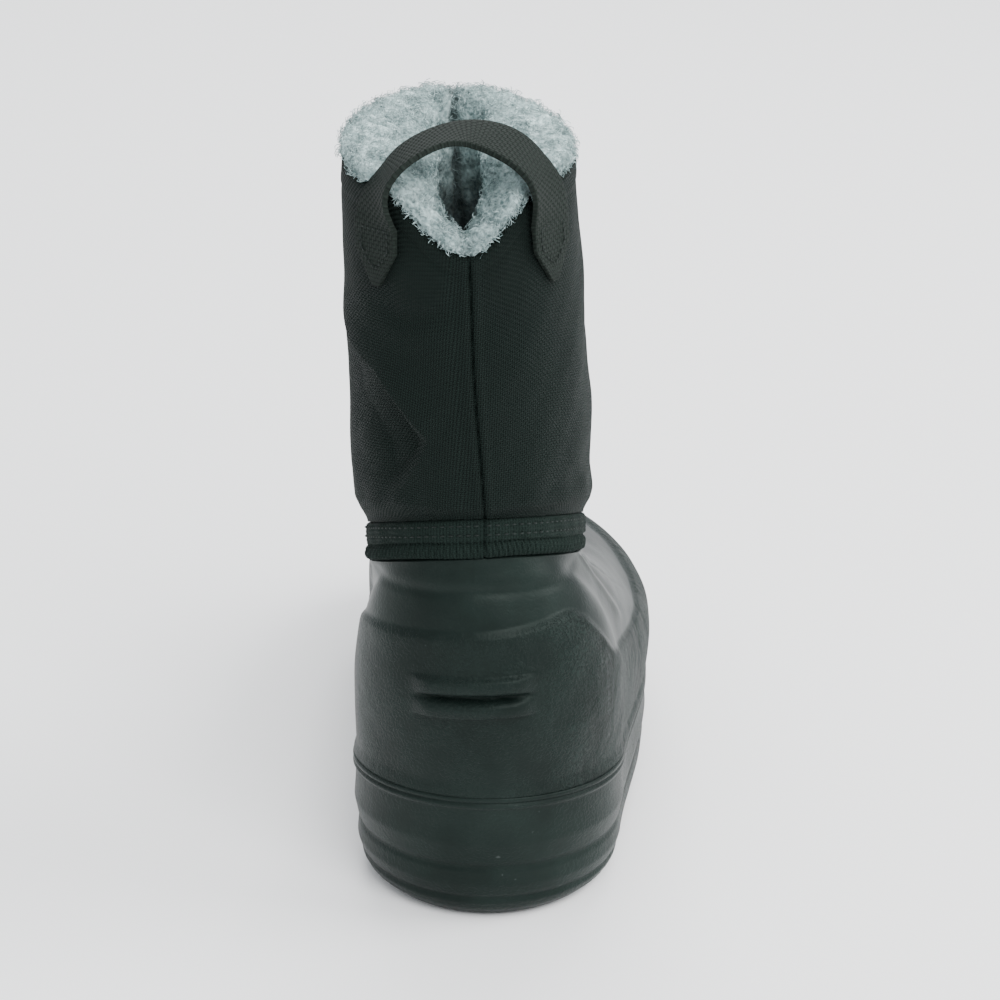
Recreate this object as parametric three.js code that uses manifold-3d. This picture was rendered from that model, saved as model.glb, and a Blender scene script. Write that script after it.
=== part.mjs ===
// Snow boot for the right foot: a moulded foam shell on a lugged cup sole, a textile shaft
// sewn to the shell under a band, a deep fleece lining rolled up out of the collar, a
// footbed, and a webbing pull loop across the back.
// Millimetres, +Z up, toe towards +Y, outer side of the foot towards +X.
// The origin is on the ground, under the centre of the heel.

import * as THREE from 'three';
import { mergeVertices } from 'three/addons/utils/BufferGeometryUtils.js';
import Module from 'manifold-3d';

const wasm = await Module();
wasm.setup();

// Gap between curved pieces that touch
const seat = 0.3;

// Plan of the sole
const soleLength = 268;
const ballWidth = 101;
const heelWidth = 90;
const toeSwing = 9;
const toeCapLength = 80;

// Heights and steps of the sole
const ridgeAtHeel = 46;
const ridgeAtWaist = 38;
const ridgeAtBall = 31;
const ridgeAtToe = 36;
const ridgeHeight = 4.5;
const ridgeProud = 2;
const toeSpring = 13;
const archRise = 2.5;
const footbedAtHeel = 27;
const footbedAtBall = 16;
const cupWall = 9;
const lugDepth = 5;
const grooveWidth = 4.5;
const grooveStep = 19;

// Shell
const shellWall = 4.5;
const randStep = 1.2;
const rimAtBack = 125;
const rimAtFront = 86;
const flangeHeight = 7;
const kickRibWidth = 37;
const kickRibTurn = -0.05;
const kickRibHeight = 4.6;
const kickRibProud = 1.7;
const kickRibLevel = 80.3;
const kickRibPitch = 6.8;

// Shaft, collar and band
const ankleWidth = 69;
const ankleBack = -37;
const ankleFront = 62;
const collarWidth = 71;
const collarBack = -39;
const collarFront = 51;
const collarAtBack = 240;
const collarAtFront = 248;
const ankleLean = -5;
const collarLean = -9.6;
const shaftTwist = 7;
const notchDepth = 17;
const notchHalfWidth = 23;
const shaftWall = 3;
const shaftBulge = 1.6;
const shaftOverhang = 3.4;
const seamDepth = 1;
const seamHalfWidth = 1.4;
const bandHeight = 13;
const bandThickness = 3;
const bandProud = 0.8;
const beadShare = 0.4;

// Fleece lining and footbed
const fleeceDepth = 9;
const fleeceRise = 7;
const fleeceOverhang = 0.9;
const tuftHeight = 1.5;
const tuftPitch = 11;
const footbedThickness = 6;
const footbedMargin = 1.5;

// Pull loop
const webbingWidth = 20;
const webbingThickness = 1.8;
const anchorAngle = 38;
const anchorDrop = 29;
const sewnLength = 19;
const pointLength = 11;
const loopRise = 16;
const loopForward = 5;
const loopBow = 6;
const loopTilt = -0.45;
const loopFlare = 1;

// Fineness of the facets
const around = 48;
const heelBack = -heelWidth / 2;

const clamp01 = (value) => Math.min(1, Math.max(0, value));
const mix = (from, to, share) => from + (to - from) * share;
const smooth = (share) => {
  const t = clamp01(share);
  return t * t * (3 - 2 * t);
};

// Reads a column of a table at a place between its rows, along a smooth curve
function readTable(rows, key, column, place) {
  const last = rows.length - 1;
  let i = 0;
  while (i < last - 1 && place > rows[i + 1][key]) i += 1;
  const low = rows[i];
  const high = rows[i + 1];
  const span = high[key] - low[key];
  const t = clamp01((place - low[key]) / span);
  const before = rows[Math.max(0, i - 1)];
  const after = rows[Math.min(last, i + 2)];
  const slopeLow = (high[column] - before[column]) / (high[key] - before[key]);
  const slopeHigh = (after[column] - low[column]) / (after[key] - low[key]);
  const t2 = t * t;
  const t3 = t2 * t;
  return (2 * t3 - 3 * t2 + 1) * low[column] + (t3 - 2 * t2 + t) * span * slopeLow
    + (3 * t2 - 2 * t3) * high[column] + (t3 - t2) * span * slopeHigh;
}

// Half widths of the sole along its length: shares of the heel width and of the ball width
const outline = [
  { share: 0.00, heel: 0.50, outer: 0.000, inner: 0.000 },
  { share: 0.18, heel: 0.50, outer: 0.000, inner: 0.000 },
  { share: 0.42, heel: 0.22, outer: 0.310, inner: 0.225 },
  { share: 0.63, heel: 0.00, outer: 0.500, inner: 0.490 },
  { share: 0.78, heel: 0.00, outer: 0.460, inner: 0.480 },
  { share: 1.00, heel: 0.00, outer: 0.380, inner: 0.430 },
];

// Height of the ridge along the sole's length
const ridgeLine = [
  { share: 0.00, height: ridgeAtHeel },
  { share: 0.32, height: ridgeAtWaist },
  { share: 0.66, height: ridgeAtBall },
  { share: 1.00, height: ridgeAtToe },
];

// Shell sections from the ridge (step 0) to the rim (step 1), at five places along the
// foot: "in" is the share of the way across to the rim, "up" the share of the way up.
// Step 0.5 follows the upper edge of the thicker rand.
const shellSections = [
  { step: 0.0, heelIn: 0.00, heelUp: 0.00, counterIn: 0.00, counterUp: 0.00, waistIn: 0.00, waistUp: 0.00,
    ballIn: 0.000, ballUp: 0.00, toeIn: 0.000, toeUp: 0.00 },
  { step: 0.1, heelIn: -0.22, heelUp: 0.14, counterIn: -0.03, counterUp: 0.12, waistIn: -0.04, waistUp: 0.06,
    ballIn: -0.070, ballUp: 0.06, toeIn: 0.003, toeUp: 0.05 },
  { step: 0.2, heelIn: -0.38, heelUp: 0.28, counterIn: -0.05, counterUp: 0.23, waistIn: -0.06, waistUp: 0.12,
    ballIn: -0.110, ballUp: 0.12, toeIn: 0.009, toeUp: 0.10 },
  { step: 0.3, heelIn: -0.42, heelUp: 0.42, counterIn: -0.05, counterUp: 0.34, waistIn: -0.06, waistUp: 0.18,
    ballIn: -0.110, ballUp: 0.18, toeIn: 0.018, toeUp: 0.15 },
  { step: 0.4, heelIn: -0.32, heelUp: 0.56, counterIn: -0.03, counterUp: 0.44, waistIn: -0.03, waistUp: 0.24,
    ballIn: -0.070, ballUp: 0.23, toeIn: 0.031, toeUp: 0.20 },
  { step: 0.5, heelIn: -0.12, heelUp: 0.68, counterIn: 0.03, counterUp: 0.53, waistIn: 0.04, waistUp: 0.30,
    ballIn: 0.020, ballUp: 0.285, toeIn: 0.050, toeUp: 0.24 },
  { step: 0.6, heelIn: 0.12, heelUp: 0.75, counterIn: 0.14, counterUp: 0.64, waistIn: 0.18, waistUp: 0.42,
    ballIn: 0.220, ballUp: 0.40, toeIn: 0.140, toeUp: 0.33 },
  { step: 0.7, heelIn: 0.40, heelUp: 0.82, counterIn: 0.30, counterUp: 0.74, waistIn: 0.35, waistUp: 0.56,
    ballIn: 0.410, ballUp: 0.54, toeIn: 0.320, toeUp: 0.44 },
  { step: 0.8, heelIn: 0.65, heelUp: 0.88, counterIn: 0.52, counterUp: 0.84, waistIn: 0.56, waistUp: 0.71,
    ballIn: 0.610, ballUp: 0.69, toeIn: 0.550, toeUp: 0.59 },
  { step: 0.9, heelIn: 0.85, heelUp: 0.94, counterIn: 0.77, counterUp: 0.92, waistIn: 0.79, waistUp: 0.86,
    ballIn: 0.810, ballUp: 0.845, toeIn: 0.780, toeUp: 0.79 },
  { step: 1.0, heelIn: 1.00, heelUp: 1.00, counterIn: 1.00, counterUp: 1.00, waistIn: 1.00, waistUp: 1.00,
    ballIn: 1.000, ballUp: 1.00, toeIn: 1.000, toeUp: 1.00 },
];
const shellPlaces = [
  { share: 0.00, name: 'heel' },
  { share: 0.12, name: 'counter' },
  { share: 0.30, name: 'waist' },
  { share: 0.62, name: 'ball' },
  { share: 1.00, name: 'toe' },
];

// Angles round a ring: 0 at the back of the heel, 90 degrees on the outer side, 180 at the toe
const ringAngles = Array.from({ length: around }, (_, i) => (2 * Math.PI * i) / around);

// The shaft is turned a little on the foot, and its back seam runs at this angle
const backAngle = THREE.MathUtils.degToRad(shaftTwist);

// Share of the length that an angle stands for, close together at heel and toe
const shareAt = (angle) => (1 - Math.cos(angle)) / 2;

// Rounds the two ends of the foot's plan: 1 along the middle and 0 at either tip
function endRounding(share, length) {
  const heelEnd = clamp01((share * length) / (heelWidth / 2));
  const toeEnd = clamp01(((1 - share) * length) / toeCapLength);
  return Math.sqrt(1 - (1 - heelEnd) ** 2) * (1 - (1 - toeEnd) ** 2.3) ** (1 / 2.1);
}

// A point of the sole's plan at an angle, moved inwards by a margin
function planPoint(angle, margin) {
  const share = shareAt(angle);
  const length = soleLength - 2 * margin;
  const outerSide = Math.sin(angle) >= 0;
  const column = outerSide ? 'outer' : 'inner';
  const half = readTable(outline, 'share', 'heel', share) * heelWidth
    + readTable(outline, 'share', column, share) * ballWidth;
  const rounded = (half - margin) * endRounding(share, length);
  const side = outerSide ? 1 : -1;
  return new THREE.Vector2(
    side * rounded - toeSwing * smooth((share - 0.45) / 0.55),
    heelBack + margin + share * length,
  );
}

const shareOfY = (y) => clamp01((y - heelBack) / soleLength);
const ridgeZ = (y) => readTable(ridgeLine, 'share', 'height', shareOfY(y));

// Underside of the sole: flat heel, low arch, flat forefoot and a toe that springs up
const treadShares = { heelEnd: 0.36, archTop: 0.43, ballStart: 0.50, springStart: 0.72 };
function treadZ(y) {
  const share = shareOfY(y);
  const t = treadShares;
  const arch = share < t.archTop
    ? smooth((share - t.heelEnd) / (t.archTop - t.heelEnd))
    : 1 - smooth((share - t.archTop) / (t.ballStart - t.archTop));
  const spring = clamp01((share - t.springStart) / (1 - t.springStart));
  return archRise * arch + toeSpring * spring ** 1.7;
}

// Upper face of the sole inside the boot, where the footbed lies
function floorZ(y) {
  const share = shareOfY(y);
  const level = mix(footbedAtHeel, footbedAtBall, smooth((share - 0.2) / 0.4));
  return level + toeSpring * clamp01((share - 0.72) / 0.28) ** 1.7;
}

// Closed ovals that the shaft stands on and ends in
const ankleOval = {
  width: ankleWidth,
  back: ankleBack,
  front: ankleFront,
  zBack: rimAtBack,
  zFront: rimAtFront,
  lean: ankleLean,
};
const collarOval = {
  width: collarWidth,
  back: collarBack,
  front: collarFront,
  zBack: collarAtBack,
  zFront: collarAtFront,
  lean: collarLean,
};
const ovalSquareness = 0.88;

// A point of an oval, moved outwards in plan by an offset
function ovalPoint(oval, angle, offset) {
  const half = oval.width / 2 + offset;
  const share = shareAt(angle);
  const sine = Math.sin(angle);
  const x = Math.sign(sine) * half * Math.abs(sine) ** ovalSquareness;
  const y = mix(oval.back - offset, oval.front + offset, share);
  const z = mix(oval.zBack, oval.zFront, shareAt(angle - backAngle));
  return new THREE.Vector3(x + oval.lean, y, z);
}

// Flat triangles of a closed surface through rings; the last ring joins the first, or both
// ends are closed across the foot
function ringTriangles(rings, joinEnds) {
  const n = rings[0].length;
  const triangles = [];
  const at = (k, i) => (k % rings.length) * n + (i % n);
  const bands = joinEnds ? rings.length : rings.length - 1;
  for (let k = 0; k < bands; k += 1) {
    for (let i = 0; i < n; i += 1) {
      triangles.push([at(k, i), at(k, i + 1), at(k + 1, i + 1)]);
      triangles.push([at(k, i), at(k + 1, i + 1), at(k + 1, i)]);
    }
  }
  if (!joinEnds) {
    const lastRing = rings.length - 1;
    for (let j = 0; j < n / 2; j += 1) {
      const near = [j, n - j].map((i) => i % n);
      const far = [j + 1, n - j - 1].map((i) => i % n);
      const strip = [[near[0], far[0], far[1]], [near[0], far[1], near[1]]];
      for (const [a, b, c] of strip) {
        if (a === b || b === c || a === c) continue;
        triangles.push([at(lastRing, a), at(lastRing, b), at(lastRing, c)]);
        triangles.push([at(0, a), at(0, c), at(0, b)]);
      }
    }
  }
  return triangles;
}

function solidFromRings(rings, joinEnds) {
  const positions = rings.flat().flatMap((p) => [p.x, p.y, p.z]);
  const geometry = new THREE.BufferGeometry();
  geometry.setAttribute('position', new THREE.Float32BufferAttribute(positions, 3));
  geometry.setIndex(ringTriangles(rings, joinEnds).flat());
  return solidFromGeometry(geometry);
}

function solidFromGeometry(geometry) {
  const bare = geometry.clone();
  bare.deleteAttribute('normal');
  bare.deleteAttribute('uv');
  const merged = mergeVertices(bare, 1e-4);
  const mesh = new wasm.Mesh({
    numProp: 3,
    vertProperties: new Float32Array(merged.attributes.position.array),
    triVerts: new Uint32Array(merged.index.array),
  });
  return new wasm.Manifold(mesh);
}

function geometryFromSolid(solid) {
  const mesh = solid.getMesh();
  const geometry = new THREE.BufferGeometry();
  geometry.setAttribute('position', new THREE.Float32BufferAttribute(mesh.vertProperties, 3));
  geometry.setIndex(Array.from(mesh.triVerts));
  geometry.computeVertexNormals();
  return geometry;
}

// Ring of points moved along the surface's own normals, worked out from its neighbours
function offsetRings(rings, distance) {
  const n = rings[0].length;
  return rings.map((ring, k) => ring.map((p, i) => {
    const along = ring[(i + 1) % n].clone().sub(ring[(i + n - 1) % n]);
    const higher = rings[Math.min(k + 1, rings.length - 1)][i];
    const up = higher.clone().sub(rings[Math.max(k - 1, 0)][i]);
    const normal = along.cross(up).normalize();
    return p.clone().addScaledVector(normal, distance);
  }));
}

// Outer surface of the shell at an angle and a step between ridge and rim
function shellPoint(angle, step) {
  const share = shareAt(angle);
  const rowAt = shellPlaces.map((place) => ({
    share: place.share,
    across: readTable(shellSections, 'step', `${place.name}In`, step),
    rise: readTable(shellSections, 'step', `${place.name}Up`, step),
  }));
  const across = readTable(rowAt, 'share', 'across', share);
  const rise = readTable(rowAt, 'share', 'rise', share);
  const foot = planPoint(angle, ridgeProud);
  const rim = ovalPoint(ankleOval, angle, 0);
  return new THREE.Vector3(
    mix(foot.x, rim.x, across),
    mix(foot.y, rim.y, across),
    mix(ridgeZ(foot.y) + seat, rim.z, rise),
  );
}

function shellRing(step) {
  return ringAngles.map((angle) => shellPoint(angle, step));
}

// Two low ribs across the back of the heel, to step on when the boot is pulled off
function kickRib(level) {
  const stations = 12;
  const rings = [];
  const halfTurn = Math.asin(kickRibWidth / heelWidth);
  const turnPerAngle = Math.sqrt(soleLength / heelWidth);
  const stepAt = (z) => {
    let low = 0;
    let high = 0.6;
    for (let i = 0; i < 24; i += 1) {
      const middle = (low + high) / 2;
      if (shellPoint(0, middle).z < z) low = middle;
      else high = middle;
    }
    return low;
  };
  const middleStep = stepAt(level);
  const lowStep = stepAt(level - kickRibHeight / 2);
  const highStep = stepAt(level + kickRibHeight / 2);
  for (let j = 0; j <= stations; j += 1) {
    const swing = (2 * j) / stations - 1;
    const turn = kickRibTurn + swing * halfTurn;
    const angle = turn / turnPerAngle;
    const outward = new THREE.Vector3(Math.sin(turn), -Math.cos(turn), 0);
    const proud = randStep + (kickRibProud + 0.8) * (1 - swing ** 6) - 0.8;
    const taper = 0.35 + 0.65 * Math.sqrt(Math.max(0, 1 - swing ** 2));
    const corners = [
      [mix(middleStep, lowStep, taper), -2.2],
      [mix(middleStep, lowStep, taper), proud - kickRibProud],
      [mix(middleStep, lowStep, taper * 0.55), proud],
      [mix(middleStep, highStep, taper * 0.55), proud],
      [mix(middleStep, highStep, taper), proud - kickRibProud],
      [mix(middleStep, highStep, taper), -2.2],
    ];
    rings.push(corners.map(([step, out]) => shellPoint(angle, step).addScaledVector(outward, out)));
  }
  return stripSolid(rings);
}

// Closed solid through stations that are all the same polygon, with flat ends
function stripSolid(stations) {
  const n = stations[0].length;
  const triangles = [];
  for (let k = 0; k < stations.length - 1; k += 1) {
    for (let i = 0; i < n; i += 1) {
      const a = k * n + i;
      const b = k * n + ((i + 1) % n);
      triangles.push([a, b, b + n], [a, b + n, a + n]);
    }
  }
  const end = (stations.length - 1) * n;
  for (let i = 1; i < n - 1; i += 1) {
    triangles.push([0, i + 1, i], [end, end + i, end + i + 1]);
  }
  const geometry = new THREE.BufferGeometry();
  const positions = stations.flat().flatMap((p) => [p.x, p.y, p.z]);
  geometry.setAttribute('position', new THREE.Float32BufferAttribute(positions, 3));
  geometry.setIndex(triangles.flat());
  const solid = solidFromGeometry(geometry);
  if (solid.volume() > 0) return solid;
  geometry.setIndex(triangles.map(([a, b, c]) => [a, c, b]).flat());
  return solidFromGeometry(geometry);
}

// Hollow foam shell: thicker rand below step 0.5, a thin flange at the rim for the band
function makeShell() {
  const randEdge = 0.5;
  const lowSteps = [0, 0.05, 0.12, 0.2, 0.28, 0.36, 0.44, randEdge];
  const highSteps = [0.52, 0.56, 0.6, 0.65, 0.7, 0.76, 0.82, 0.88, 0.94, 1];
  const low = offsetRings(lowSteps.map(shellRing), randStep);
  low[0].forEach((p, i) => {
    p.z = shellPoint(ringAngles[i], 0).z;
  });
  const high = highSteps.map(shellRing);
  const rimInset = bandThickness - bandProud + seat;
  const flange = [0.4, flangeHeight].map((rise) => ringAngles.map((angle) => {
    const p = ovalPoint(ankleOval, angle, -rimInset);
    p.z += rise;
    return p;
  }));
  const innerSteps = [1, 0.88, 0.76, 0.65, 0.56, 0.46, 0.36, 0.24, 0.12, 0];
  const inner = offsetRings(innerSteps.map(shellRing), shellWall);
  inner[inner.length - 1].forEach((p, i) => {
    p.z = shellPoint(ringAngles[i], 0).z;
  });
  const flangeInside = ringAngles.map((angle) => {
    const p = ovalPoint(ankleOval, angle, -shellWall);
    p.z += flangeHeight;
    return p;
  });
  const body = solidFromRings([...low, ...high, ...flange, flangeInside, ...inner], true);
  const levels = [kickRibLevel + kickRibPitch / 2, kickRibLevel - kickRibPitch / 2];
  return levels.reduce((solid, level) => solid.add(kickRib(level)), body);
}

// Side of the sole from the tread up to the ridge: share of the height, and how far the
// wall stands in from the sole's plan
const soleSide = [
  { up: 0.00, margin: 9.0 },
  { up: 0.03, margin: 6.0 },
  { up: 0.10, margin: 3.4 },
  { up: 0.18, margin: 2.4 },
  { up: 0.21, margin: 3.4 },
  { up: 0.24, margin: 2.0 },
  { up: 0.34, margin: 0.9 },
  { up: 0.46, margin: 1.6 },
  { up: 0.49, margin: 2.8 },
  { up: 0.53, margin: 1.4 },
  { up: 0.70, margin: 0.2 },
  { up: 0.84, margin: 1.0 },
];

function soleRing(margin, heightAt) {
  return ringAngles.map((angle) => {
    const p = planPoint(angle, margin);
    return new THREE.Vector3(p.x, p.y, heightAt(p.y));
  });
}

// Chevron that cuts one groove across the tread, deeper than the tread's surface there
function treadGroove(y) {
  const reach = ballWidth * 0.75;
  const sweep = 9;
  const half = grooveWidth / 2;
  const shape = new THREE.Shape([
    new THREE.Vector2(-reach, y - half - sweep),
    new THREE.Vector2(0, y - half),
    new THREE.Vector2(reach, y - half - sweep),
    new THREE.Vector2(reach, y + half - sweep),
    new THREE.Vector2(0, y + half),
    new THREE.Vector2(-reach, y + half - sweep),
  ]);
  const bottom = -lugDepth;
  const top = treadZ(y - sweep / 2) + lugDepth;
  const geometry = new THREE.ExtrudeGeometry(shape, { depth: top - bottom, bevelEnabled: false });
  geometry.translate(0, 0, bottom);
  return solidFromGeometry(geometry);
}

// One cup sole: ribbed side, ridge, lugs under heel and forefoot, hollow for the footbed
function makeSole() {
  const side = soleSide.map((row) => soleRing(
    row.margin,
    (y) => mix(treadZ(y), ridgeZ(y) - ridgeHeight, row.up),
  ));
  const ridge = [
    soleRing(1.2, (y) => ridgeZ(y) - ridgeHeight),
    soleRing(0, (y) => ridgeZ(y) - ridgeHeight * 0.7),
    soleRing(0, (y) => ridgeZ(y) - ridgeHeight * 0.3),
    soleRing(1, ridgeZ),
  ];
  const cup = [
    soleRing(cupWall, ridgeZ),
    soleRing(cupWall + 1, (y) => floorZ(y) + 2),
    soleRing(cupWall + 3, floorZ),
  ];
  const body = solidFromRings([...side, ...ridge, ...cup], false);
  const firstGroove = heelBack + grooveStep * 1.9;
  const grooves = [];
  for (let y = firstGroove; y < heelBack + soleLength * 0.94; y += grooveStep) {
    grooves.push(treadGroove(y));
  }
  return grooves.reduce((solid, groove) => solid.subtract(groove), body);
}

function makeFootbed() {
  const margin = cupWall + footbedMargin + 1;
  const low = soleRing(margin + 3, (y) => floorZ(y) + seat);
  const middle = soleRing(margin, (y) => floorZ(y) + footbedThickness * 0.5);
  const edge = soleRing(margin, (y) => floorZ(y) + footbedThickness * 0.8);
  const high = soleRing(margin + 2, (y) => floorZ(y) + footbedThickness);
  return solidFromRings([low, middle, edge, high], false);
}

// Angles round the shaft, with three close together for the seam down its back
const seamAngle = (2 * seamHalfWidth) / ankleWidth;
const shaftAngles = [0, seamAngle, ...ringAngles.slice(1), 2 * Math.PI - seamAngle].map(
  (angle) => angle + backAngle,
);

// How far the collar's edge dips at an angle, in a notch over the back seam
function notchAt(angle) {
  const away = (Math.abs(Math.sin(angle - backAngle)) * collarWidth) / 2 / notchHalfWidth;
  return Math.cos(angle - backAngle) > 0 ? notchDepth * (1 - smooth(away)) : 0;
}

// Surface of the shaft at an angle and a share of its height, moved outwards by an offset.
// Its lowest part is tucked in under the band, and above that the cloth stands out over it.
const shaftRise = collarAtBack - notchDepth - rimAtBack - flangeHeight - seat;
const tuckedShare = (bandHeight + 3 * seat - flangeHeight) / shaftRise;
function shaftPoint(angle, share, offset) {
  const free = smooth((share - tuckedShare) / 0.05);
  const swell = shaftBulge * Math.sin(Math.PI * clamp01(share)) ** 0.8 + shaftOverhang * (1 - share);
  const out = offset + mix(bandProud - bandThickness - seat, swell, free);
  const low = ovalPoint(ankleOval, angle, out);
  const high = ovalPoint(collarOval, angle, out);
  const start = low.z + flangeHeight + seat;
  return new THREE.Vector3(
    mix(low.x, high.x, share * free),
    mix(low.y, high.y, share * free),
    mix(start, high.z - notchAt(angle), share),
  );
}

const wallShares = [tuckedShare + 0.06, 0.25, 0.4, 0.6, 0.8];

function makeShaft() {
  const lowShares = [0, tuckedShare, tuckedShare + 0.02, tuckedShare + 0.05];
  const outerShares = [...lowShares, 0.2, 0.3, 0.42, 0.56, 0.7, 0.84, 0.96, 1];
  const innerShares = [1, ...wallShares.toReversed(), tuckedShare + 0.01, 0];
  const seamAt = (angle) => (angle === backAngle ? seamDepth : 0);
  const outer = outerShares.map((share) => shaftAngles.map(
    (angle) => shaftPoint(angle, share, -seamAt(angle) - (share === 1 ? 0.8 : 0)),
  ));
  const inner = innerShares.map((share) => shaftAngles.map(
    (angle) => shaftPoint(angle, share, -shaftWall * (share < 0.1 ? 0.62 : 1)),
  ));
  return solidFromRings([...outer, ...inner], true);
}

// Sewn band over the joint of shell and shaft: a flat tape above a rounder bead
function makeBand() {
  const inside = -bandThickness + bandProud;
  const profile = [
    { up: 0.02, out: inside },
    { up: 0.00, out: bandProud * 0.3 },
    { up: 0.12, out: bandProud + 0.5 },
    { up: beadShare - 0.1, out: bandProud + 0.5 },
    { up: beadShare, out: bandProud - 0.5 },
    { up: beadShare + 0.06, out: bandProud },
    { up: 0.95, out: bandProud },
    { up: 1.00, out: bandProud - 0.7 },
    { up: 0.98, out: inside },
  ];
  const rings = profile.map(({ up, out }) => shaftAngles.map((angle) => {
    const p = ovalPoint(ankleOval, angle, out);
    p.z += 2 * seat + up * bandHeight;
    return p;
  }));
  return solidFromRings(rings, true);
}

// Height of the tufts of the fleece, over its own surface
function tuft(p) {
  const k = (2 * Math.PI) / tuftPitch;
  const level = Math.sin(p.x * k) * Math.cos(p.y * k * 0.9 + 1);
  const upright = Math.sin(p.z * k * 1.1 + p.x * k * 0.5);
  return tuftHeight * 0.5 * (level + upright);
}

// Fleece sleeve inside shaft and rim, standing up out of the collar in a soft roll
function makeLining() {
  const outside = -shaftWall - seat;
  const inside = outside - fleeceDepth;
  const outer = wallShares.map((share) => shaftAngles.map((angle) => shaftPoint(angle, share, outside)));
  const inner = wallShares.toReversed().map(
    (share) => shaftAngles.map((angle) => shaftPoint(angle, share, inside)),
  );
  const roll = [
    { out: outside, up: seat },
    { out: fleeceOverhang - shaftWall * 0.5, up: seat * 3 },
    { out: fleeceOverhang - shaftWall * 0.4, up: fleeceRise * 0.45 },
    { out: outside + 0.5, up: fleeceRise * 0.85 },
    { out: mix(outside, inside, 0.45), up: fleeceRise },
    { out: mix(outside, inside, 0.8), up: fleeceRise * 0.7 },
    { out: inside, up: fleeceRise * 0.1 },
  ];
  const top = roll.map(({ out, up }, k) => shaftAngles.map((angle) => {
    const p = shaftPoint(angle, 1, out);
    const lump = k > 1 ? tuft(p) : 0;
    p.z += up + (k > 1 ? lump * 0.7 : 0);
    return p;
  }));
  return solidFromRings([...outer, ...top, ...inner], true);
}

// Webbing from one side of the shaft's back over the opening to the other, with pointed
// ends sewn flat on the shaft
function makePullLoop() {
  const stations = [];
  const away = seat + webbingThickness / 2;
  const anchor = THREE.MathUtils.degToRad(anchorAngle);
  const shaftHeight = collarAtBack - rimAtBack;
  const shareOf = (drop) => 1 - drop / shaftHeight;
  const sewnSteps = 5;
  const section = (centre, across, outward, width) => {
    const half = width / 2;
    const thick = webbingThickness / 2;
    const corner = (u, v) => centre.clone().addScaledVector(across, u).addScaledVector(outward, v);
    return [corner(-half, -thick), corner(half, -thick), corner(half, thick), corner(-half, thick)];
  };
  const onShaft = (angle, drop) => {
    const share = shareOf(drop);
    const centre = shaftPoint(angle, share, away);
    const across = shaftPoint(angle + 0.05, share, away).sub(shaftPoint(angle - 0.05, share, away));
    return { centre, across: across.normalize() };
  };
  const ends = [backAngle - anchor, backAngle + anchor];
  const sewn = ends.map((angle) => Array.from({ length: sewnSteps }, (_, j) => {
    const length = (sewnLength * j) / (sewnSteps - 1);
    const place = onShaft(angle, anchorDrop - length);
    const width = Math.min(webbingWidth, 3 + (webbingWidth - 3) * (length / pointLength));
    return { ...place, width };
  }));
  const [left, right] = sewn;
  const start = left[left.length - 1];
  const finish = right[right.length - 1];
  const arcSteps = 15;
  const arch = Array.from({ length: arcSteps }, (_, j) => {
    const t = (j + 1) / (arcSteps + 1);
    const turn = Math.PI * t;
    const rise = (anchorDrop - sewnLength + loopRise) * Math.sin(turn) ** 0.75;
    const centre = start.centre.clone().lerp(finish.centre, (1 - Math.cos(turn)) / 2);
    centre.z += rise;
    centre.y += loopForward * Math.sin(turn) ** 4;
    centre.y -= loopBow * Math.sin(turn) * Math.cos(turn) ** 2;
    const across = start.across.clone().lerp(finish.across.clone().negate(), t);
    across.z -= Math.sin(turn) ** 2 * (loopTilt + loopFlare * t);
    return { centre, across, width: webbingWidth };
  });
  const path = [...left, ...arch, ...right.reverse()];
  path.forEach((place, k) => {
    const before = path[Math.max(0, k - 1)].centre;
    const after = path[Math.min(path.length - 1, k + 1)].centre;
    const along = after.clone().sub(before).normalize();
    const flip = k >= left.length + arcSteps ? -1 : 1;
    const across = place.across.clone().multiplyScalar(flip);
    across.addScaledVector(along, -across.dot(along)).normalize();
    const outward = across.clone().cross(along).normalize();
    stations.push(section(place.centre, across, outward, place.width));
  });
  return stripSolid(stations);
}

// Colours and surfaces
const finishes = {
  foam: { color: 0x2a312f, roughness: 0.5, metalness: 0 },
  cloth: { color: 0x1d2221, roughness: 0.85, metalness: 0 },
  tape: { color: 0x202524, roughness: 0.9, metalness: 0 },
  webbing: { color: 0x262a29, roughness: 0.8, metalness: 0 },
  fleece: { color: 0x9fb0b1, roughness: 1, metalness: 0 },
  felt: { color: 0x8c9798, roughness: 1, metalness: 0 },
};

function addPiece(group, name, solid, finish) {
  const material = new THREE.MeshStandardMaterial(finishes[finish]);
  const mesh = new THREE.Mesh(geometryFromSolid(solid), material);
  mesh.name = name;
  group.add(mesh);
}

const boot = new THREE.Group();
addPiece(boot, 'sole', makeSole(), 'foam');
addPiece(boot, 'shell', makeShell(), 'foam');
addPiece(boot, 'footbed', makeFootbed(), 'felt');
addPiece(boot, 'band', makeBand(), 'tape');
addPiece(boot, 'shaft', makeShaft(), 'cloth');
addPiece(boot, 'lining', makeLining(), 'fleece');
addPiece(boot, 'pull_loop', makePullLoop(), 'webbing');

export default boot;
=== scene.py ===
"""Dresses the snow boot: moulded foam foot, woven shaft, sewn band, fleece and webbing loop."""

import logging
import math
from dataclasses import dataclass, field
from enum import Enum

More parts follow.
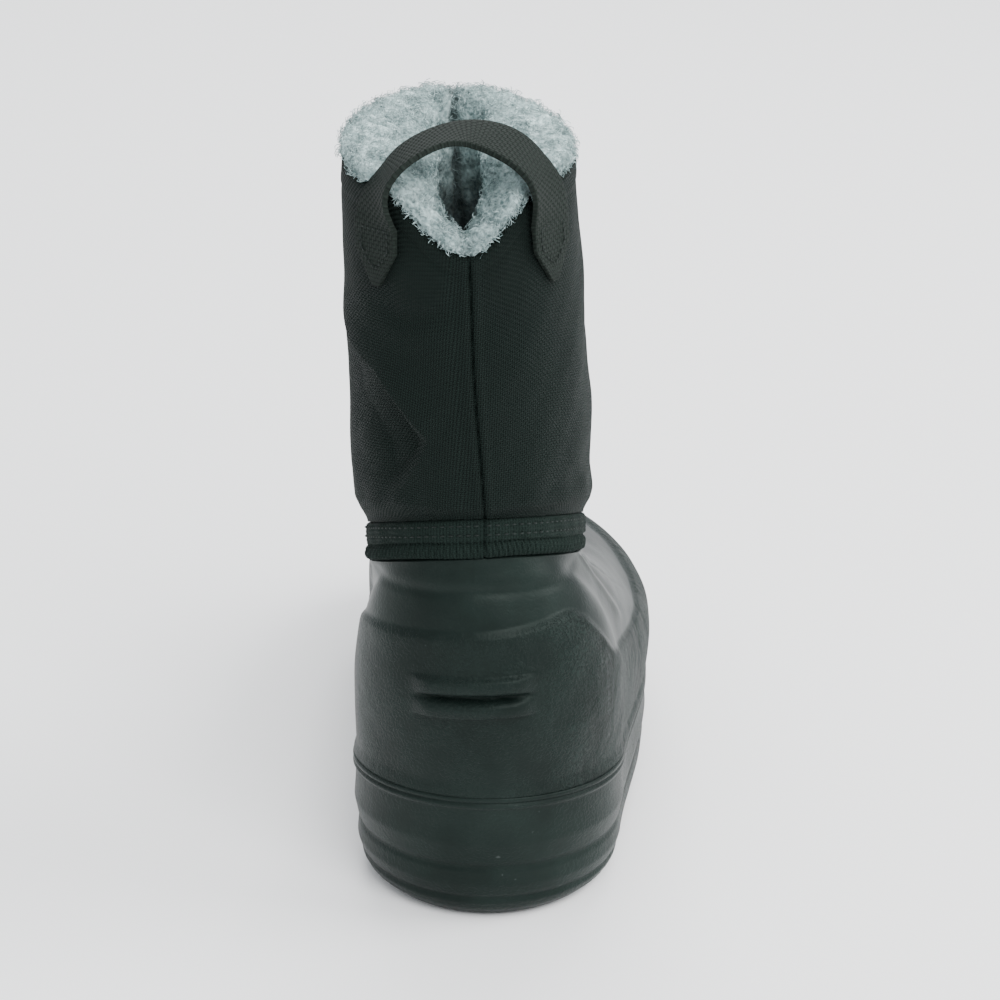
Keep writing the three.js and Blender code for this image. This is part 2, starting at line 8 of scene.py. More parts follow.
import bmesh
import bpy
import numpy as np
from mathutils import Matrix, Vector


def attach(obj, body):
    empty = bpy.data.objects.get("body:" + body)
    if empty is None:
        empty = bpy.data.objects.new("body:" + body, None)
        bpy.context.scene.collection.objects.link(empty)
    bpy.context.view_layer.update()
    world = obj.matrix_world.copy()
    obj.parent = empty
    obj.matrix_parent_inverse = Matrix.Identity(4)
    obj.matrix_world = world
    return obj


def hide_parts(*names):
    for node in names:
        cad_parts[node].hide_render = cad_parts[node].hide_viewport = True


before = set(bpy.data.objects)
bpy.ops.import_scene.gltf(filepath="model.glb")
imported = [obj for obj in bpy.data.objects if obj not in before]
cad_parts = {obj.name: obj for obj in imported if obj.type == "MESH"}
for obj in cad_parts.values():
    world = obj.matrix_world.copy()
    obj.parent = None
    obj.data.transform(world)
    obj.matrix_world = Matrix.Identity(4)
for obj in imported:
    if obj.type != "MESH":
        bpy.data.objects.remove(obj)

LOG = logging.getLogger("snow_boot")
MM = 0.001
# The tint of every finish's reflections, a little towards green.
GLANCE = (0.88, 1.0, 0.94, 1.0)
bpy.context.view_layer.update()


def smooth(share: np.ndarray) -> np.ndarray:
    """Eases a share from 0 to 1, flat at both ends."""
    t = np.clip(share, 0.0, 1.0)
    return t * t * (3 - 2 * t)


def mix(low: np.ndarray, high: np.ndarray, share: np.ndarray) -> np.ndarray:
    """Blends two values by a share."""
    return low + (high - low) * share


def bump(distance: np.ndarray, width: float) -> np.ndarray:
    """A soft ridge of height 1 that falls away over the width."""
    return np.exp(-((distance / width) ** 2))


def window(place: np.ndarray, low: float, high: float, fade: float) -> np.ndarray:
    """1 between two places, easing to 0 over the fade outside them."""
    return smooth((place - low + fade) / fade) * smooth((high + fade - place) / fade)


def run_length(points: np.ndarray) -> np.ndarray:
    """Measures the length passed from row to row of points.

    Args:
        points: A run of points, or rows of them, last axis x, y and z.

    Returns:
        The length up to each row, 0 at the first.
    """
    steps = np.linalg.norm(np.diff(points, axis=0), axis=-1)
    return np.concatenate([np.zeros_like(steps[:1]), np.cumsum(steps, axis=0)])


def curve(keys: list[float], values: np.ndarray, place: np.ndarray) -> np.ndarray:
    """Reads a smooth curve through table rows at a place between them.

    Args:
        keys: The rows' places, rising.
        values: The rows' values, first axis along the keys.
        place: Where the curve is read.

    Returns:
        The values there, in the shape of the place.
    """
    k = np.asarray(keys, dtype=float)
    last = len(k) - 1
    place = np.asarray(place, dtype=float)
    rows = np.asarray(values, dtype=float).reshape((last + 1,) + np.shape(values)[1:])
    if rows.ndim == 1:
        rows = rows.reshape((last + 1,) + (1,) * place.ndim)
    rows = np.broadcast_to(rows, (last + 1,) + place.shape)
    i = np.clip(np.searchsorted(k, place, side="left") - 1, 0, last - 1)
    before, after = np.maximum(i - 1, 0), np.minimum(i + 2, last)

    def pick(index: np.ndarray) -> np.ndarray:
        """Takes one row's value for each place."""
        return np.take_along_axis(rows, index[None], axis=0)[0]

    low, high = pick(i), pick(i + 1)
    span = k[i + 1] - k[i]
    t = np.clip((place - k[i]) / span, 0.0, 1.0)
    slope_low = (high - pick(before)) / (k[i + 1] - k[before])
    slope_high = (pick(after) - low) / (k[after] - k[i])
    t2, t3 = t * t, t * t * t
    return (
        (2 * t3 - 3 * t2 + 1) * low
        + (t3 - 2 * t2 + t) * span * slope_low
        + (3 * t2 - 2 * t3) * high
        + (t3 - t2) * span * slope_high
    )


@dataclass(frozen=True)
class Oval:
    """A closed, level or slanting oval round the ankle or collar, in millimetres."""

    width: float
    back: float
    front: float
    z_back: float
    z_front: float
    lean: float


@dataclass(frozen=True)
class BootForm:
    """Sizes of the boot in millimetres, as in the part, and the surfaces they give."""

    seat: float = 0.3
    sole_length: float = 268.0
    ball_width: float = 101.0
    heel_width: float = 90.0
    toe_swing: float = 9.0
    toe_cap: float = 80.0
    ridge_height: float = 4.5
    ridge_proud: float = 2.0
    toe_spring: float = 13.0
    arch_rise: float = 2.5
    cup_wall: float = 9.0
    footbed_at_heel: float = 27.0
    footbed_at_ball: float = 16.0
    shell_wall: float = 4.5
    rand_step: float = 1.2
    flange_height: float = 7.0
    shaft_twist: float = math.radians(7.0)
    notch_depth: float = 17.0
    notch_half: float = 23.0
    shaft_wall: float = 3.0
    shaft_bulge: float = 1.6
    shaft_overhang: float = 3.4
    band_height: float = 13.0
    band_thickness: float = 3.0
    band_proud: float = 0.8
    squareness: float = 0.88
    ankle: Oval = Oval(69.0, -37.0, 62.0, 125.0, 86.0, -5.0)
    collar: Oval = Oval(71.0, -39.0, 51.0, 240.0, 248.0, -9.6)

    @property
    def heel_back(self) -> float:
        """Where the heel's back lies along the foot."""
        return -self.heel_width / 2

    @property
    def tucked(self) -> float:
        """Share of the shaft's height that is tucked in under the band."""
        rise = self.collar.z_back - self.notch_depth - self.ankle.z_back - self.flange_height - self.seat
        return (self.band_height + 3 * self.seat - self.flange_height) / rise

    @property
    def clear_of_band(self) -> float:
        """Share of the shaft's height at which it stands free of the band."""
        return self.tucked + 0.06

    def turned(self, angle: np.ndarray) -> np.ndarray:
        """Angle from the shaft's back seam, up to half a turn to either side."""
        return np.arctan2(np.sin(angle - self.shaft_twist), np.cos(angle - self.shaft_twist))

    def plan(self, angle: np.ndarray, margin: np.ndarray) -> tuple[np.ndarray, np.ndarray]:
        """Gives the sole's plan at an angle, moved inwards by a margin.

        Args:
            angle: 0 at the back of the heel, a quarter turn on the outer side.
            margin: How far inside the outline.

        Returns:
            The two plan coordinates.
        """
        share = (1 - np.cos(angle)) / 2
        length = self.sole_length - 2 * margin
        outer = np.sin(angle) >= 0
        keys = [0.0, 0.18, 0.42, 0.63, 0.78, 1.0]
        heel = curve(keys, np.array([0.5, 0.5, 0.22, 0.0, 0.0, 0.0]), share)
        wide_out = curve(keys, np.array([0.0, 0.0, 0.31, 0.5, 0.46, 0.38]), share)
        wide_in = curve(keys, np.array([0.0, 0.0, 0.225, 0.49, 0.48, 0.43]), share)
        half = heel * self.heel_width + np.where(outer, wide_out, wide_in) * self.ball_width
        heel_end = np.clip(share * length / (self.heel_width / 2), 0, 1)
        toe_end = np.clip((1 - share) * length / self.toe_cap, 0, 1)
        rounding = np.sqrt(1 - (1 - heel_end) ** 2) * (1 - (1 - toe_end) ** 2.3) ** (1 / 2.1)
        x = np.where(outer, 1, -1) * (half - margin) * rounding
        x = x - self.toe_swing * smooth((share - 0.45) / 0.55)
        return x, self.heel_back + margin + share * length

    def share_of(self, y: np.ndarray) -> np.ndarray:
        """Share of the sole's length at a place along it."""
        return np.clip((y - self.heel_back) / self.sole_length, 0, 1)

    def ridge_z(self, y: np.ndarray) -> np.ndarray:
        """Height of the ridge where the shell stands on the sole."""
        return curve([0.0, 0.32, 0.66, 1.0], np.array([46.0, 38.0, 31.0, 36.0]), self.share_of(y))

    def spring_z(self, share: np.ndarray) -> np.ndarray:
        """How far the toe spring lifts the sole at a share of its length."""
        return self.toe_spring * np.clip((share - 0.72) / 0.28, 0, 1) ** 1.7

    def tread_z(self, y: np.ndarray) -> np.ndarray:
        """Height of the sole's underside, with its arch and toe spring.

        Args:
            y: Places along the foot, in millimetres.

        Returns:
            The height there, in millimetres.
        """
        share = self.share_of(y)
        arch = smooth((share - 0.36) / 0.07) * (1 - smooth((share - 0.43) / 0.07))
        return self.arch_rise * arch + self.spring_z(share)

    def floor_z(self, y: np.ndarray) -> np.ndarray:
        """Height of the floor inside the cup, under the footbed.

        Args:
            y: Places along the foot, in millimetres.

        Returns:
            The height there, in millimetres.
        """
        share = self.share_of(y)
        level = mix(self.footbed_at_heel, self.footbed_at_ball, smooth((share - 0.2) / 0.4))
        return level + self.spring_z(share)

    def oval(self, oval: Oval, angle: np.ndarray, offset: np.ndarray) -> np.ndarray:
        """Points of an oval, moved outwards in plan by an offset.

        Args:
            oval: The oval's sizes.
            angle: Angles round it, 0 at the back.
            offset: How far outwards, in millimetres.

        Returns:
            The points, last axis x, y and z.
        """
        sine = np.sin(angle)
        share = (1 - np.cos(angle)) / 2
        x = np.sign(sine) * (oval.width / 2 + offset) * np.abs(sine) ** self.squareness + oval.lean
        y = mix(oval.back - offset, oval.front + offset, share)
        z = mix(oval.z_back, oval.z_front, (1 - np.cos(angle - self.shaft_twist)) / 2)
        return np.stack(np.broadcast_arrays(x, y, z), axis=-1)

    def shell(self, angle: np.ndarray, step: np.ndarray) -> np.ndarray:
        """Outer surface of the foam shell between the ridge (0) and the rim (1).

        Args:
            angle: Angles round the foot.
            step: Steps from the ridge to the rim.

        Returns:
            The points in millimetres, last axis x, y and z.
        """
        angle, step = np.broadcast_arrays(angle, step)
        share = (1 - np.cos(angle)) / 2
        steps = [k / 10 for k in range(11)]
        across = {
            "heel": [0.0, -0.22, -0.38, -0.42, -0.32, -0.12, 0.12, 0.40, 0.65, 0.85, 1.0],
            "counter": [0.0, -0.03, -0.05, -0.05, -0.03, 0.03, 0.14, 0.30, 0.52, 0.77, 1.0],
            "waist": [0.0, -0.04, -0.06, -0.06, -0.03, 0.04, 0.18, 0.35, 0.56, 0.79, 1.0],
            "ball": [0.0, -0.07, -0.11, -0.11, -0.07, 0.02, 0.22, 0.41, 0.61, 0.81, 1.0],
            "toe": [0.0, 0.003, 0.009, 0.018, 0.031, 0.05, 0.14, 0.32, 0.55, 0.78, 1.0],
        }
        rise = {
            "heel": [0.0, 0.14, 0.28, 0.42, 0.56, 0.68, 0.75, 0.82, 0.88, 0.94, 1.0],
            "counter": [0.0, 0.12, 0.23, 0.34, 0.44, 0.53, 0.64, 0.74, 0.84, 0.92, 1.0],
            "waist": [0.0, 0.06, 0.12, 0.18, 0.24, 0.30, 0.42, 0.56, 0.71, 0.86, 1.0],
            "ball": [0.0, 0.06, 0.12, 0.18, 0.23, 0.285, 0.40, 0.54, 0.69, 0.845, 1.0],
            "toe": [0.0, 0.05, 0.10, 0.15, 0.20, 0.24, 0.33, 0.44, 0.59, 0.79, 1.0],
        }
        places = [0.0, 0.12, 0.30, 0.62, 1.0]
        inwards = curve(places, np.stack([curve(steps, np.array(c), step) for c in across.values()]), share)
        upwards = curve(places, np.stack([curve(steps, np.array(c), step) for c in rise.values()]), share)
        x, y = self.plan(angle, self.ridge_proud)
        rim = self.oval(self.ankle, angle, 0.0)
        return np.stack(
            [
                mix(x, rim[..., 0], inwards),
                mix(y, rim[..., 1], inwards),
                mix(self.ridge_z(y) + self.seat, rim[..., 2], upwards),
            ],
            axis=-1,
        )

    def notch(self, angle: np.ndarray) -> np.ndarray:
        """How far the collar's edge dips in the notch over the back seam.

        Args:
            angle: Angles round the collar.

        Returns:
            The dip in millimetres.
        """
        turned = angle - self.shaft_twist
        away = np.abs(np.sin(turned)) * self.collar.width / 2 / self.notch_half
        return np.where(np.cos(turned) > 0, self.notch_depth * (1 - smooth(away)), 0.0)

    def shaft(self, angle: np.ndarray, share: np.ndarray, offset: np.ndarray) -> np.ndarray:
        """Surface of the shaft at an angle and a share of its height, moved outwards.

        Args:
            angle: Angles round the shaft.
            share: 0 at its lower end, 1 at the collar.
            offset: How far outwards, in millimetres.

        Returns:
            The points in millimetres, last axis x, y and z.
        """
        free = smooth((share - self.tucked) / 0.05)
        swell = self.shaft_bulge * np.sin(np.pi * np.clip(share, 0, 1)) ** 0.8
        swell = swell + self.shaft_overhang * (1 - share)
        out = offset + mix(self.band_proud - self.band_thickness - self.seat, swell, free)
        low = self.oval(self.ankle, angle, out)
        high = self.oval(self.collar, angle, out)
        start = low[..., 2] + self.flange_height + self.seat
        return np.stack(
            [
                mix(low[..., 0], high[..., 0], share * free),
                mix(low[..., 1], high[..., 1], share * free),
                mix(start, high[..., 2] - self.notch(angle), share),
            ],
            axis=-1,
        )


def normals_of(points: np.ndarray) -> np.ndarray:
    """Unit normals of a grid of points whose columns run round the boot.

    Args:
        points: Rows of points, each row once round without its first point again.

    Returns:
        Normals in the same layout, pointing away from the boot.
    """
    around = np.roll(points, -1, axis=1) - np.roll(points, 1, axis=1)
    up = np.gradient(points, axis=0)
    normal = np.cross(around, up)
    return normal / np.maximum(np.linalg.norm(normal, axis=-1, keepdims=True), 1e-9)


def ripple(points: np.ndarray, wave: float, seed: float) -> np.ndarray:
    """Soft uneven waves over a surface, about -1 to 1.

    Args:
        points: Places in millimetres.
        wave: Length of the waves in millimetres.
        seed: Shifts the pattern.

    Returns:
        The height of the waves at each point.
    """
    k = 2 * math.pi / wave
    x, y, z = points[..., 0], points[..., 1], points[..., 2]
    first = np.sin(k * (x + 0.4 * z) + seed) * np.cos(k * (y - 0.3 * z) + 2 * seed)
    second = np.sin(k * 1.7 * (z - 0.5 * x) + 3 * seed) * np.cos(k * 1.3 * (x + y) + seed)
    return 0.6 * first + 0.4 * second


@dataclass
class Surface:
    """A grid of points round the boot with the values that its finish reads."""

    name: str
    points: np.ndarray
    closed_rows: bool = True
    masks: dict[str, np.ndarray] = field(default_factory=dict)
    chart: np.ndarray | None = None

    def _wrapped(self, values: np.ndarray) -> np.ndarray:
        """Repeats the first column, and the first row where the rows close."""
        out = np.concatenate([values, values[:, :1]], axis=1)
        return np.concatenate([out, out[:1]], axis=0) if self.closed_rows else out

    def build(self) -> bpy.types.Object:
        """Bends a grid to the points and closes it.

        Returns:
            The new object, with its place in its mesh.
        """
        points = self._wrapped(self.points) * MM
        rows, columns = points.shape[:2]
        bm = bmesh.new()
        bmesh.ops.create_grid(bm, x_segments=columns - 1, y_segments=rows - 1, size=0.5)
        layers = {key: bm.verts.layers.float.new(key) for key in self.masks}
        masks = {key: self._wrapped(mask) for key, mask in self.masks.items()}
        uv = bm.loops.layers.uv.new("chart")
        chart = self.chart if self.chart is not None else self._chart(points)
        place = {}
        for vert in bm.verts:
            i = round((vert.co.x + 0.5) * (columns - 1))
            j = round((vert.co.y + 0.5) * (rows - 1))
            place[vert.index] = (j, i)
            for key, layer in layers.items():
                vert[layer] = float(masks[key][j, i])
        for face in bm.faces:
            for loop in face.loops:
                j, i = place[loop.vert.index]
                loop[uv].uv = chart[j, i]
        for vert in bm.verts:
            vert.co = Vector(points[place[vert.index]])
        bmesh.ops.remove_doubles(bm, verts=bm.verts, dist=1e-6)
        loose = [edge for edge in bm.edges if edge.is_boundary]
        if loose:
            bmesh.ops.holes_fill(bm, edges=loose, sides=0)
        if bm.calc_volume(signed=True) < 0:
            bmesh.ops.reverse_faces(bm, faces=bm.faces)
        return object_from(bm, self.name)

    @staticmethod
    def _chart(points: np.ndarray) -> np.ndarray:
        """Unrolls the grid: metres round one of its lower rows, and metres up each column.

        Args:
            points: The closed grid in metres.

        Returns:
            The chart's two coordinates for each point.
        """
        around = run_length(points[points.shape[0] // 3])
        up = run_length(points)
        return np.stack([np.broadcast_to(around, up.shape), up], axis=-1)


def object_from(bm: bmesh.types.BMesh, name: str, shade_smooth: bool = True) -> bpy.types.Object:
    """Turns a finished bmesh into an object of the scene.

    Args:
        bm: The shape, freed here.
        name: The new object's name.
        shade_smooth: Whether its faces are shaded smooth.

    Returns:
        The object.
    """
    mesh = bpy.data.meshes.new(name)
    bm.to_mesh(mesh)
    bm.free()
    for polygon in mesh.polygons:
        polygon.use_smooth = shade_smooth
    made = bpy.data.objects.new(name, mesh)
    bpy.context.scene.collection.objects.link(made)
    return made


def apply_modifiers(made: bpy.types.Object) -> None:
    """Applies an object's modifiers to its mesh.

    Args:
        made: The object, which gets a new mesh.
    """
    graph = bpy.context.evaluated_depsgraph_get()
    mesh = bpy.data.meshes.new_from_object(made.evaluated_get(graph))
    made.modifiers.clear()
    old, made.data = made.data, mesh
    bpy.data.meshes.remove(old)


class Socket(Enum):
    """Kinds of socket that the shared node groups have."""

    NUMBER = "NodeSocketFloat"
    VECTOR = "NodeSocketVector"


class NodeKit:
    """Short ways to place and link nodes in one tree."""

    def __init__(self, tree: bpy.types.NodeTree) -> None:
        """Keeps the tree that the nodes go into."""
        self.tree = tree

    def add(self, kind: str, **settings: object) -> bpy.types.Node:
        """Places a node of a kind and sets its properties.

        Args:
            kind: Blender's name of the node.
            **settings: Its properties and their values.

        Returns:
            The node.
        """
        node = self.tree.nodes.new(kind)
        for key, value in settings.items():
            setattr(node, key, value)
        return node

    def link(self, source: bpy.types.NodeSocket, target: bpy.types.NodeSocket) -> None:
        """Links an output to an input."""
        self.tree.links.new(source, target)

    def math(self, operation: str, first: object, second: object = 0.0) -> bpy.types.NodeSocket:
        """Adds a Math node; each term is a socket or a number.

        Args:
            operation: Blender's name of the operation.
            first: The first term.
            second: The second term.

        Returns:
            The node's output.
        """
        node = self.add("ShaderNodeMath", operation=operation)
        for socket, term in zip(node.inputs, (first, second)):
            if isinstance(term, bpy.types.NodeSocket):
                self.link(term, socket)
            else:
                socket.default_value = float(term)
        return node.outputs[0]

    def ramp(self, source: bpy.types.NodeSocket, low: float, high: float) -> bpy.types.NodeSocket:
        """Maps a value from a range to 0 and 1, clamped.

        Args:
            source: The value.
            low: What becomes 0.
            high: What becomes 1.

        Returns:
            The mapped value.
        """
        node = self.add("ShaderNodeMapRange", clamp=True)
        self.link(source, node.inputs["Value"])
        node.inputs["From Min"].default_value = low
        node.inputs["From Max"].default_value = high
        return node.outputs["Result"]

    def noise(self, vector: bpy.types.NodeSocket, scale: float, detail: float) -> bpy.types.NodeSocket:
        """Adds a noise texture and gives its value.

        Args:
            vector: Where it is read.
            scale: Its scale.
            detail: Its detail.

        Returns:
            The noise, about 0 to 1.
        """
        node = self.add("ShaderNodeTexNoise")
        self.link(vector, node.inputs["Vector"])
        node.inputs["Scale"].default_value = scale
        node.inputs["Detail"].default_value = detail
        return node.outputs[0]


def open_group(
    name: str, inputs: dict[str, Socket], outputs: list[str]
) -> tuple[bpy.types.NodeTree, NodeKit]:
    """Starts a shader node group with named sockets.

    Args:
        name: The group's name.
        inputs: Its inputs and their kinds.
        outputs: Its outputs, all numbers.
    """
    group = bpy.data.node_groups.new(name, "ShaderNodeTree")
    for key, kind in inputs.items():
        group.interface.new_socket(name=key, in_out="INPUT", socket_type=kind.value)
    for key in outputs:
        group.interface.new_socket(name=key, in_out="OUTPUT", socket_type=Socket.NUMBER.value)
    return group, NodeKit(group)


def woven_group() -> bpy.types.NodeTree:
    """Builds the weave: threads that pass over and under each other, and their fuzz.

    Returns:
        A group with a Height and a Tone that vary over the cloth.
    """
    fuzz_scale, roundness = 2600.0, 0.6
    sockets = {"Chart": Socket.VECTOR, "Across": Socket.NUMBER, "Along": Socket.NUMBER, "Fuzz": Socket.NUMBER}
    group, kit = open_group("woven threads", sockets, ["Height", "Tone"])
    inner, outer = kit.add("NodeGroupInput"), kit.add("NodeGroupOutput")
    split = kit.add("ShaderNodeSeparateXYZ")
    kit.link(inner.outputs["Chart"], split.inputs[0])
    across = kit.math("DIVIDE", split.outputs[0], inner.outputs["Across"])
    along = kit.math("DIVIDE", split.outputs[1], inner.outputs["Along"])
    crowns = []
    for place in (across, along):
        crowns.append(kit.math("ABSOLUTE", kit.math("SINE", kit.math("MULTIPLY", place, math.pi))))
    cell = kit.math("ADD", kit.math("FLOOR", across), kit.math("FLOOR", along))
    over = kit.math("MODULO", kit.math("ABSOLUTE", cell), 2.0)
    under = kit.math("SUBTRACT", 1.0, over)
    warp = kit.math("MULTIPLY", kit.math("POWER", crowns[0], roundness), over)
    weft = kit.math("MULTIPLY", kit.math("POWER", crowns[1], roundness), under)
    thread = kit.math("ADD", warp, weft)
    fuzz = kit.noise(inner.outputs["Chart"], fuzz_scale, 2.0)
    rough = kit.math("MULTIPLY", kit.math("SUBTRACT", fuzz, 0.5), inner.outputs["Fuzz"])
    kit.link(kit.math("ADD", thread, rough), outer.inputs["Height"])
    kit.link(kit.math("ADD", kit.math("MULTIPLY", thread, 0.75), rough), outer.inputs["Tone"])
    return group


def grain_group() -> bpy.types.NodeTree:
    """Builds the moulded foam's grain: fine pits, broad unevenness and pale scuffs.

    Returns:
        A group with a Height, a Tone and a Scuff that vary over the foam.
    """
    pit_scale, grit_scale, patch_scale, broad_scale = 1500.0, 950.0, 75.0, 38.0
    speck_scale, scuffed_scale = 420.0, 24.0
    sockets = {"Place": Socket.VECTOR, "Grain": Socket.NUMBER}
    group, kit = open_group("moulded grain", sockets, ["Height", "Tone", "Scuff"])
    inner, outer = kit.add("NodeGroupInput"), kit.add("NodeGroupOutput")
    place = inner.outputs["Place"]
    fine = kit.add("ShaderNodeTexVoronoi", feature="F1")
    kit.link(place, fine.inputs["Vector"])
    fine.inputs["Scale"].default_value = pit_scale
    pits = kit.ramp(fine.outputs["Distance"], 0.22, 0.38)
    grit = kit.ramp(kit.noise(place, grit_scale, 1.5), 0.47, 0.53)
    stipple = kit.math("ADD", kit.math("MULTIPLY", pits, 0.5), grit)
    broad = kit.noise(place, broad_scale, 4.0)
    cover = kit.ramp(kit.noise(place, patch_scale, 2.0), 0.36, 0.6)
    patchy = kit.math("ADD", kit.math("MULTIPLY", cover, 0.75), 0.25)
    height = kit.math("MULTIPLY", kit.math("MULTIPLY", stipple, patchy), inner.outputs["Grain"])
    kit.link(kit.math("ADD", height, kit.math("MULTIPLY", broad, 0.35)), outer.inputs["Height"])
    kit.link(kit.math("ADD", broad, kit.math("MULTIPLY", height, 0.5)), outer.inputs["Tone"])
    specks = kit.ramp(kit.noise(place, speck_scale, 2.0), 0.735, 0.78)
    scuffed = kit.ramp(kit.noise(place, scuffed_scale, 2.0), 0.45, 0.7)
    kit.link(kit.math("MULTIPLY", specks, scuffed), outer.inputs["Scuff"])
    return group


@dataclass(frozen=True)
class Finish:
    """What every finish of the boot states about itself."""

    name: str
    dark: tuple[float, float, float]
    light: tuple[float, float, float]
    roughness: float
    sheen: float = 0.0
    relief: float = 0.0003
    shine: float = 0.5

    def start(self) -> tuple[bpy.types.Material, NodeKit, bpy.types.Node]:
        """Makes the material with its shader and the values that are the same all over.
        """
        material = bpy.data.materials.new(self.name)
        material.use_nodes = True
        kit = NodeKit(material.node_tree)
        shader = material.node_tree.nodes["Principled BSDF"]
        shader.inputs["Base Color"].default_value = (*self.light, 1.0)
        shader.inputs["Roughness"].default_value = self.roughness
        shader.inputs["Specular IOR Level"].default_value = self.shine
        shader.inputs["Specular Tint"].default_value = GLANCE
        shader.inputs["Sheen Weight"].default_value = self.sheen
        shader.inputs["Sheen Roughness"].default_value = 0.5
        return material, kit, shader

    def colour(self, kit: NodeKit, share: bpy.types.NodeSocket, shader: bpy.types.Node) -> bpy.types.Node:
        """Colours the surface from dark to light by a share that varies over it.

        Args:
            kit: The material's kit.
            share: 0 for the dark colour, 1 for the light one.
            shader: The shader that takes the colour.

        Returns:
            The mix node, so that more can be laid over it.
        """
        blend = kit.add("ShaderNodeMix", data_type="RGBA")
        kit.link(share, blend.inputs["Factor"])
        blend.inputs["A"].default_value = (*self.dark, 1.0)
        blend.inputs["B"].default_value = (*self.light, 1.0)
        kit.link(blend.outputs["Result"], shader.inputs["Base Color"])
        return blend

    def emboss(
        self, kit: NodeKit, height: bpy.types.NodeSocket, shader: bpy.types.Node, strength: float
    ) -> None:
        """Raises the surface by a height, through the normal.

        Args:
            kit: The material's kit.
            height: What is raised.
            shader: The shader that takes the normal.
            strength: How strongly it shows.
        """
        relief = kit.add("ShaderNodeBump")
        relief.inputs["Strength"].default_value = strength
        relief.inputs["Distance"].default_value = self.relief
        kit.link(height, relief.inputs["Height"])
        kit.link(relief.outputs["Normal"], shader.inputs["Normal"])


@dataclass(frozen=True)
class FoamFinish(Finish):
    """Moulded foam: grained where its mask says, smoother and glossier elsewhere."""

    smooth_roughness: float = 0.4
    scuff: tuple[float, float, float] = (0.16, 0.18, 0.175)
    scuff_cover: float = 0.35

    def material(self, grain: bpy.types.NodeTree) -> bpy.types.Material:
        """Builds the foam's material.

        Args:
            grain: The shared group of the moulded grain.

        Returns:
            The material.
        """
        material, kit, shader = self.start()
        place = kit.add("ShaderNodeTexCoord")
        mask = kit.add("ShaderNodeAttribute", attribute_name="grain")
        texture = kit.add("ShaderNodeGroup", node_tree=grain)
        kit.link(place.outputs["Object"], texture.inputs["Place"])
        kit.link(mask.outputs["Fac"], texture.inputs["Grain"])
        tone = kit.math("MULTIPLY", kit.ramp(texture.outputs["Tone"], 0.35, 1.0), 0.85)
        gloss = kit.math("SUBTRACT", 1.0, mask.outputs["Fac"])
        share = kit.math("ADD", tone, kit.math("MULTIPLY", gloss, 0.25))
        blend = self.colour(kit, share, shader)
        worn = kit.add("ShaderNodeMix", data_type="RGBA")
        kit.link(kit.math("MULTIPLY", texture.outputs["Scuff"], self.scuff_cover), worn.inputs["Factor"])
        kit.link(blend.outputs["Result"], worn.inputs["A"])
        worn.inputs["B"].default_value = (*self.scuff, 1.0)
        kit.link(worn.outputs["Result"], shader.inputs["Base Color"])
        rough = kit.math("MULTIPLY", gloss, self.smooth_roughness - self.roughness)
        kit.link(kit.math("ADD", rough, self.roughness), shader.inputs["Roughness"])
        self.emboss(kit, texture.outputs["Height"], shader, 1.0)
        return material


@dataclass(frozen=True)
class WovenFinish(Finish):
    """Cloth or webbing whose threads follow the piece's own chart."""

    across: float = 0.00085
    along: float = 0.00085
    turned: float = 0.0
    fuzz: float = 0.5
    strength: float = 0.6

    def material(self, woven: bpy.types.NodeTree) -> bpy.types.Material:
        """Builds the cloth's material.

        Args:
            woven: The shared group of the weave.

        Returns:
            The material.
        """
        material, kit, shader = self.start()
        chart = kit.add("ShaderNodeUVMap", uv_map="chart")
        turn = kit.add("ShaderNodeMapping")
        turn.inputs["Rotation"].default_value = (0.0, 0.0, self.turned)
        texture = kit.add("ShaderNodeGroup", node_tree=woven)
        kit.link(chart.outputs["UV"], turn.inputs["Vector"])
        kit.link(turn.outputs["Vector"], texture.inputs["Chart"])
        texture.inputs["Across"].default_value = self.across
        texture.inputs["Along"].default_value = self.along
        texture.inputs["Fuzz"].default_value = self.fuzz
        self.colour(kit, kit.ramp(texture.outputs["Tone"], 0.05, 0.85), shader)
        self.emboss(kit, texture.outputs["Height"], shader, self.strength)
        return material


@dataclass(frozen=True)
class FleeceFinish(Finish):
    """Fleece: pale fibres with a soft, cloudy tone, with painted shade laid over where the mesh's
    painted-shade attribute says.
    """

    cloud: float = 150.0
    # How dark the painted shade is, as a share of the dark colour.
    painted_shade_tone: float = 0.25

    def material(self) -> bpy.types.Material:
        """Builds the fleece's material.

        Returns:
            The material.
        """
        material, kit, shader = self.start()
        place = kit.add("ShaderNodeTexCoord")
        painted_shade = kit.add("ShaderNodeAttribute", attribute_name="painted_shade")
        clouds = kit.ramp(kit.noise(place.outputs["Object"], self.cloud, 3.0), 0.35, 0.62)
        wool = kit.ramp(kit.noise(place.outputs["Object"], self.cloud * 5, 1.0), 0.35, 0.62)
        share = kit.math("ADD", kit.math("MULTIPLY", clouds, 0.5), kit.math("MULTIPLY", wool, 0.5))
        blend = self.colour(kit, share, shader)
        # Painted shade: the colour is darkened where the sleeve's inside and the far rim's cleft lie in
        # shade.
        shade = kit.add("ShaderNodeMix", data_type="RGBA")
        kit.link(painted_shade.outputs["Fac"], shade.inputs["Factor"])
        kit.link(blend.outputs["Result"], shade.inputs["A"])
        shade.inputs["B"].default_value = (*(self.painted_shade_tone * part for part in self.dark), 1.0)
        kit.link(shade.outputs["Result"], shader.inputs["Base Color"])
        self.emboss(kit, kit.noise(place.outputs["Object"], self.cloud * 7, 4.0), shader, 0.8)
        return material


